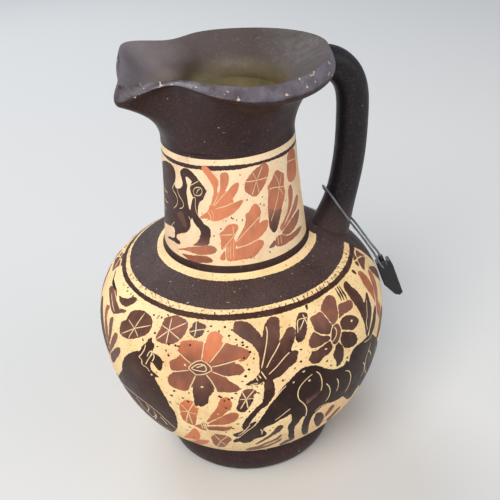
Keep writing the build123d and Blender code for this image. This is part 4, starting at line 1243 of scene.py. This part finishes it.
def rest_of(node, wall, top):
    """What is left of a CAD node without its wall's outer face: corners, faces, kinds and the lip's tones."""
    work = bmesh.new()
    work.from_mesh(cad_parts[node].data)
    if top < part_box(node)[1].z - MM:
        everything = work.verts[:] + work.edges[:] + work.faces[:]
        bmesh.ops.bisect_plane(
            work, geom=everything, dist=BISECT_TOLERANCE, plane_co=(0, 0, top), plane_no=(0, 0, 1))
    work.normal_update()
    work.verts.ensure_lookup_table()
    work.verts.index_update()
    places = np.array([tuple(vertex.co) for vertex in work.verts])
    facing = np.array([vertex.normal.z for vertex in work.verts])
    lip = np.interp(places[:, 2], LIP_HEIGHTS, (0, 1)) * np.interp(facing, LIP_FACING, (0, 1))
    faces, kinds, tones = [], [], []
    for face in work.faces:
        middle = face.calc_center_median()
        out = face.normal.x * middle.x + face.normal.y * middle.y
        radius = np.interp(middle.z, wall.heights, wall.radii)
        if abs(middle.xy.length - radius) < WALL_TOLERANCE and middle.z < top and out > 0:
            continue
        faces.append([vertex.index for vertex in face.verts])
        kinds.append(RAW if out < 0 or node == "body" else GLOSS)
        tones.append([float(lip[i]) for i in faces[-1]])
    work.free()
    return places, faces, kinds, tones


def make_painted(name, node, skin, top):
    """One painted piece in place of a CAD node: the painted skin of its wall, and the rest from the CAD."""
    places, faces, kinds, tones = skin.mesh()
    more_places, more_faces, more_kinds, more_tones = rest_of(node, skin.wall, top)
    first = len(places)
    faces += [[first + i for i in face] for face in more_faces]
    kinds += more_kinds
    tones += more_tones
    mesh = bpy.data.meshes.new(name)
    mesh.from_pydata(np.vstack((places, more_places)).tolist(), [], faces)
    for kind in sorted(MATERIALS):
        mesh.materials.append(MATERIALS[kind])
    mesh.polygons.foreach_set("material_index", kinds)
    mesh.polygons.foreach_set("use_smooth", [True] * len(faces))
    tone = mesh.attributes.new("tone", "FLOAT", "CORNER")
    tone.data.foreach_set("value", [value for corners in tones for value in corners])
    work = bmesh.new()
    work.from_mesh(mesh)
    loose = [vertex for vertex in work.verts if not vertex.link_faces]
    bmesh.ops.delete(work, geom=loose, context="VERTS")
    work.to_mesh(mesh)
    work.free()
    mesh.set_sharp_from_angle(angle=SHARP)
    piece = bpy.data.objects.new(name, mesh)
    bpy.context.scene.collection.objects.link(piece)
    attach(piece, "jug")
    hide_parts(node)


def paint_belly():
    """The belly's frieze of beasts and rosettes, the shoulder's rings and the panel under the handle."""
    low, high = (corner.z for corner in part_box("body"))
    wall = Wall("body", low, high)
    skin = Skin(wall)
    for turn in (0.0, BACK_TURN):
        paint_far(skin, FAR_SHAPES, {}, turn)
        paint(skin, BELLY_SHAPES, BELLY_CUTS, BELLY_SPECKS, turn)
        paint_far(skin, {}, FAR_CUTS, turn)
    for start, degrees, lift in FILLS:
        shapes, cuts = ({name: group[name] for name in group if name.startswith(start)}
                        for group in (BELLY_SHAPES, BELLY_CUTS))
        paint(skin, shapes, cuts, (), turned(degrees), lift)
    for point in BELLY_FLECKS:
        skin.speck(point, CUT, size=FLECK_SIZE)
    line_foot, line_top = wall.row(LINE_FOOT_ROW), wall.row(LINE_TOP_ROW)
    shoulder_foot, shoulder_top = wall.row(SHOULDER_FOOT_ROW), wall.row(SHOULDER_TOP_ROW)
    skin.band(line_top, shoulder_foot, GROUND, tone=1.0)
    skin.band(line_foot, line_top, SLIP, RING_WOBBLE, DARK)
    skin.band(shoulder_foot, shoulder_top, SHOULDER, RING_WOBBLE)
    skin.band(wall.row(BASE_BAND_ROW), wall.top, SLIP)
    for number, (a, b) in enumerate(zip(CRACKS[0::2], CRACKS[1::2])):
        (x, y), (u, v) = wall.land(a), wall.land(b)
        share = number * GOLDEN_SHARE % 1.0
        one, other = CRACK_LEAST + CRACK_SPREAD * share, CRACK_LEAST + CRACK_SPREAD * (1.0 - share)
        corners = [(x - one, y), (x + other, y), (u + one * share, v), (u - other * share, v)]
        skin.add(corners, SLIP, DARK, DARK)
    edge = [wall.land(point) for point in PANEL_EDGE]
    edge += [(turned(azimuth), rise) for azimuth, rise in PANEL_TONGUE]
    edge = [(edge[0][0], wall.top)] + [tuple(p) for p in through(edge, False)] + [(FULL_TURN, wall.top)]
    skin.add(edge, SHOULDER)
    skin.add([(FULL_TURN - x, y) for x, y in edge], SHOULDER)
    make_painted("painted_belly", "body", skin, high)


def paint_neck():
    """The neck's frieze between its rings, and the black strip behind the handle."""
    wall = Wall("neck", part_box("neck")[0].z, NECK_SKIN_TOP)
    skin = Skin(wall)
    skin.band(wall.row(NECK_LINE_FOOT_ROW), wall.row(NECK_LINE_TOP_ROW), SLIP, RING_WOBBLE)
    for turn in (0.0, BACK_TURN):
        paint(skin, NECK_SHAPES, NECK_CUTS, NECK_SPECKS, turn)
        paint_far(skin, {}, NECK_FAR_CUTS, turn)
        for points in NECK_HOLES.values():
            skin.add(skin.laid(points, True, turn, 0.0), GROUND)
    skin.band(0.0, wall.rise(NECK_BAND_HEIGHT), SLIP)
    skin.band(wall.row(NECK_CREAM_TOP_ROW), wall.top, GLOSS)
    for x in (0.0, FULL_TURN - NECK_PANEL_HALF):
        skin.add([(x, 0), (x + NECK_PANEL_HALF, 0), (x + NECK_PANEL_HALF, wall.top), (x, wall.top)], GLOSS)
    make_painted("painted_neck", "neck", skin, NECK_SKIN_TOP)


paint_belly()
paint_neck()


def dress(node, material):
    """Gives a CAD node its material."""
    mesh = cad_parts[node].data
    mesh.materials.clear()
    mesh.materials.append(material)


dress("foot", MATERIALS[GLOSS])
dress("handle", gloss_look("handle_black", *HANDLE_BLACK, root=True))
seal_black = plastic_look("seal_black", *SEAL_BLACK)
dress("seal_body", seal_black)
dress("seal_plug", seal_black)
cord_loop.data.materials.append(plastic_look("cord_grey", *CORD_GREY))

FLOOR_SIDE = 6.0
FLOOR_COLOUR = (0.62, 0.61, 0.59)
FLOOR_ROUGHNESS = 0.75
# Soft square lights: place, height on the axis that they look at, side, power and colour.
LIGHTS = {
    "key": ((-0.9, -1.0, 1.5), 0.1, 1.1, 34.0, (1.0, 0.97, 0.93)),
    "fill": ((1.2, -0.9, 0.9), 0.1, 1.0, 6.0, (1.0, 0.95, 0.88)),
    "back": ((-0.3, 1.3, 1.3), 0.15, 1.0, 14.0, (0.88, 0.94, 1.0)),
}
SKY_COLOUR = (0.80, 0.87, 1.0, 1.0)
SKY_STRENGTH = 0.45


def make_floor():
    """A plain pale floor."""
    half = FLOOR_SIDE / 2
    corners = [(-half, -half, 0), (half, -half, 0), (half, half, 0), (-half, half, 0)]
    mesh = bpy.data.meshes.new("floor")
    mesh.from_pydata(corners, [], [(0, 1, 2, 3)])
    look = Look("floor")
    look.set("Base Color", FLOOR_COLOUR)
    look.set("Roughness", FLOOR_ROUGHNESS)
    mesh.materials.append(look.material)
    floor = bpy.data.objects.new("floor", mesh)
    bpy.context.scene.collection.objects.link(floor)


def make_light(name, place, aim, side, power, colour):
    """One of the lights, turned to the axis."""
    data = bpy.data.lights.new(name, "AREA")
    data.size = side
    data.energy = power
    data.color = colour
    light = bpy.data.objects.new(name, data)
    light.location = place
    light.rotation_euler = (Vector((0, 0, aim)) - Vector(place)).to_track_quat("-Z", "Y").to_euler()
    bpy.context.scene.collection.objects.link(light)


def make_studio():
    """Soft daylight from the left and above, a weaker fill from the right, a back light and a pale sky."""
    for name, light in LIGHTS.items():
        make_light(name, *light)
    world = bpy.data.worlds.new("studio")
    world.use_nodes = True
    background = world.node_tree.nodes["Background"]
    background.inputs["Color"].default_value = SKY_COLOUR
    background.inputs["Strength"].default_value = SKY_STRENGTH
    bpy.context.scene.world = world


make_floor()
make_studio()
scene = bpy.context.scene
scene.view_settings.view_transform = "Standard"
scene.view_settings.look = "None"
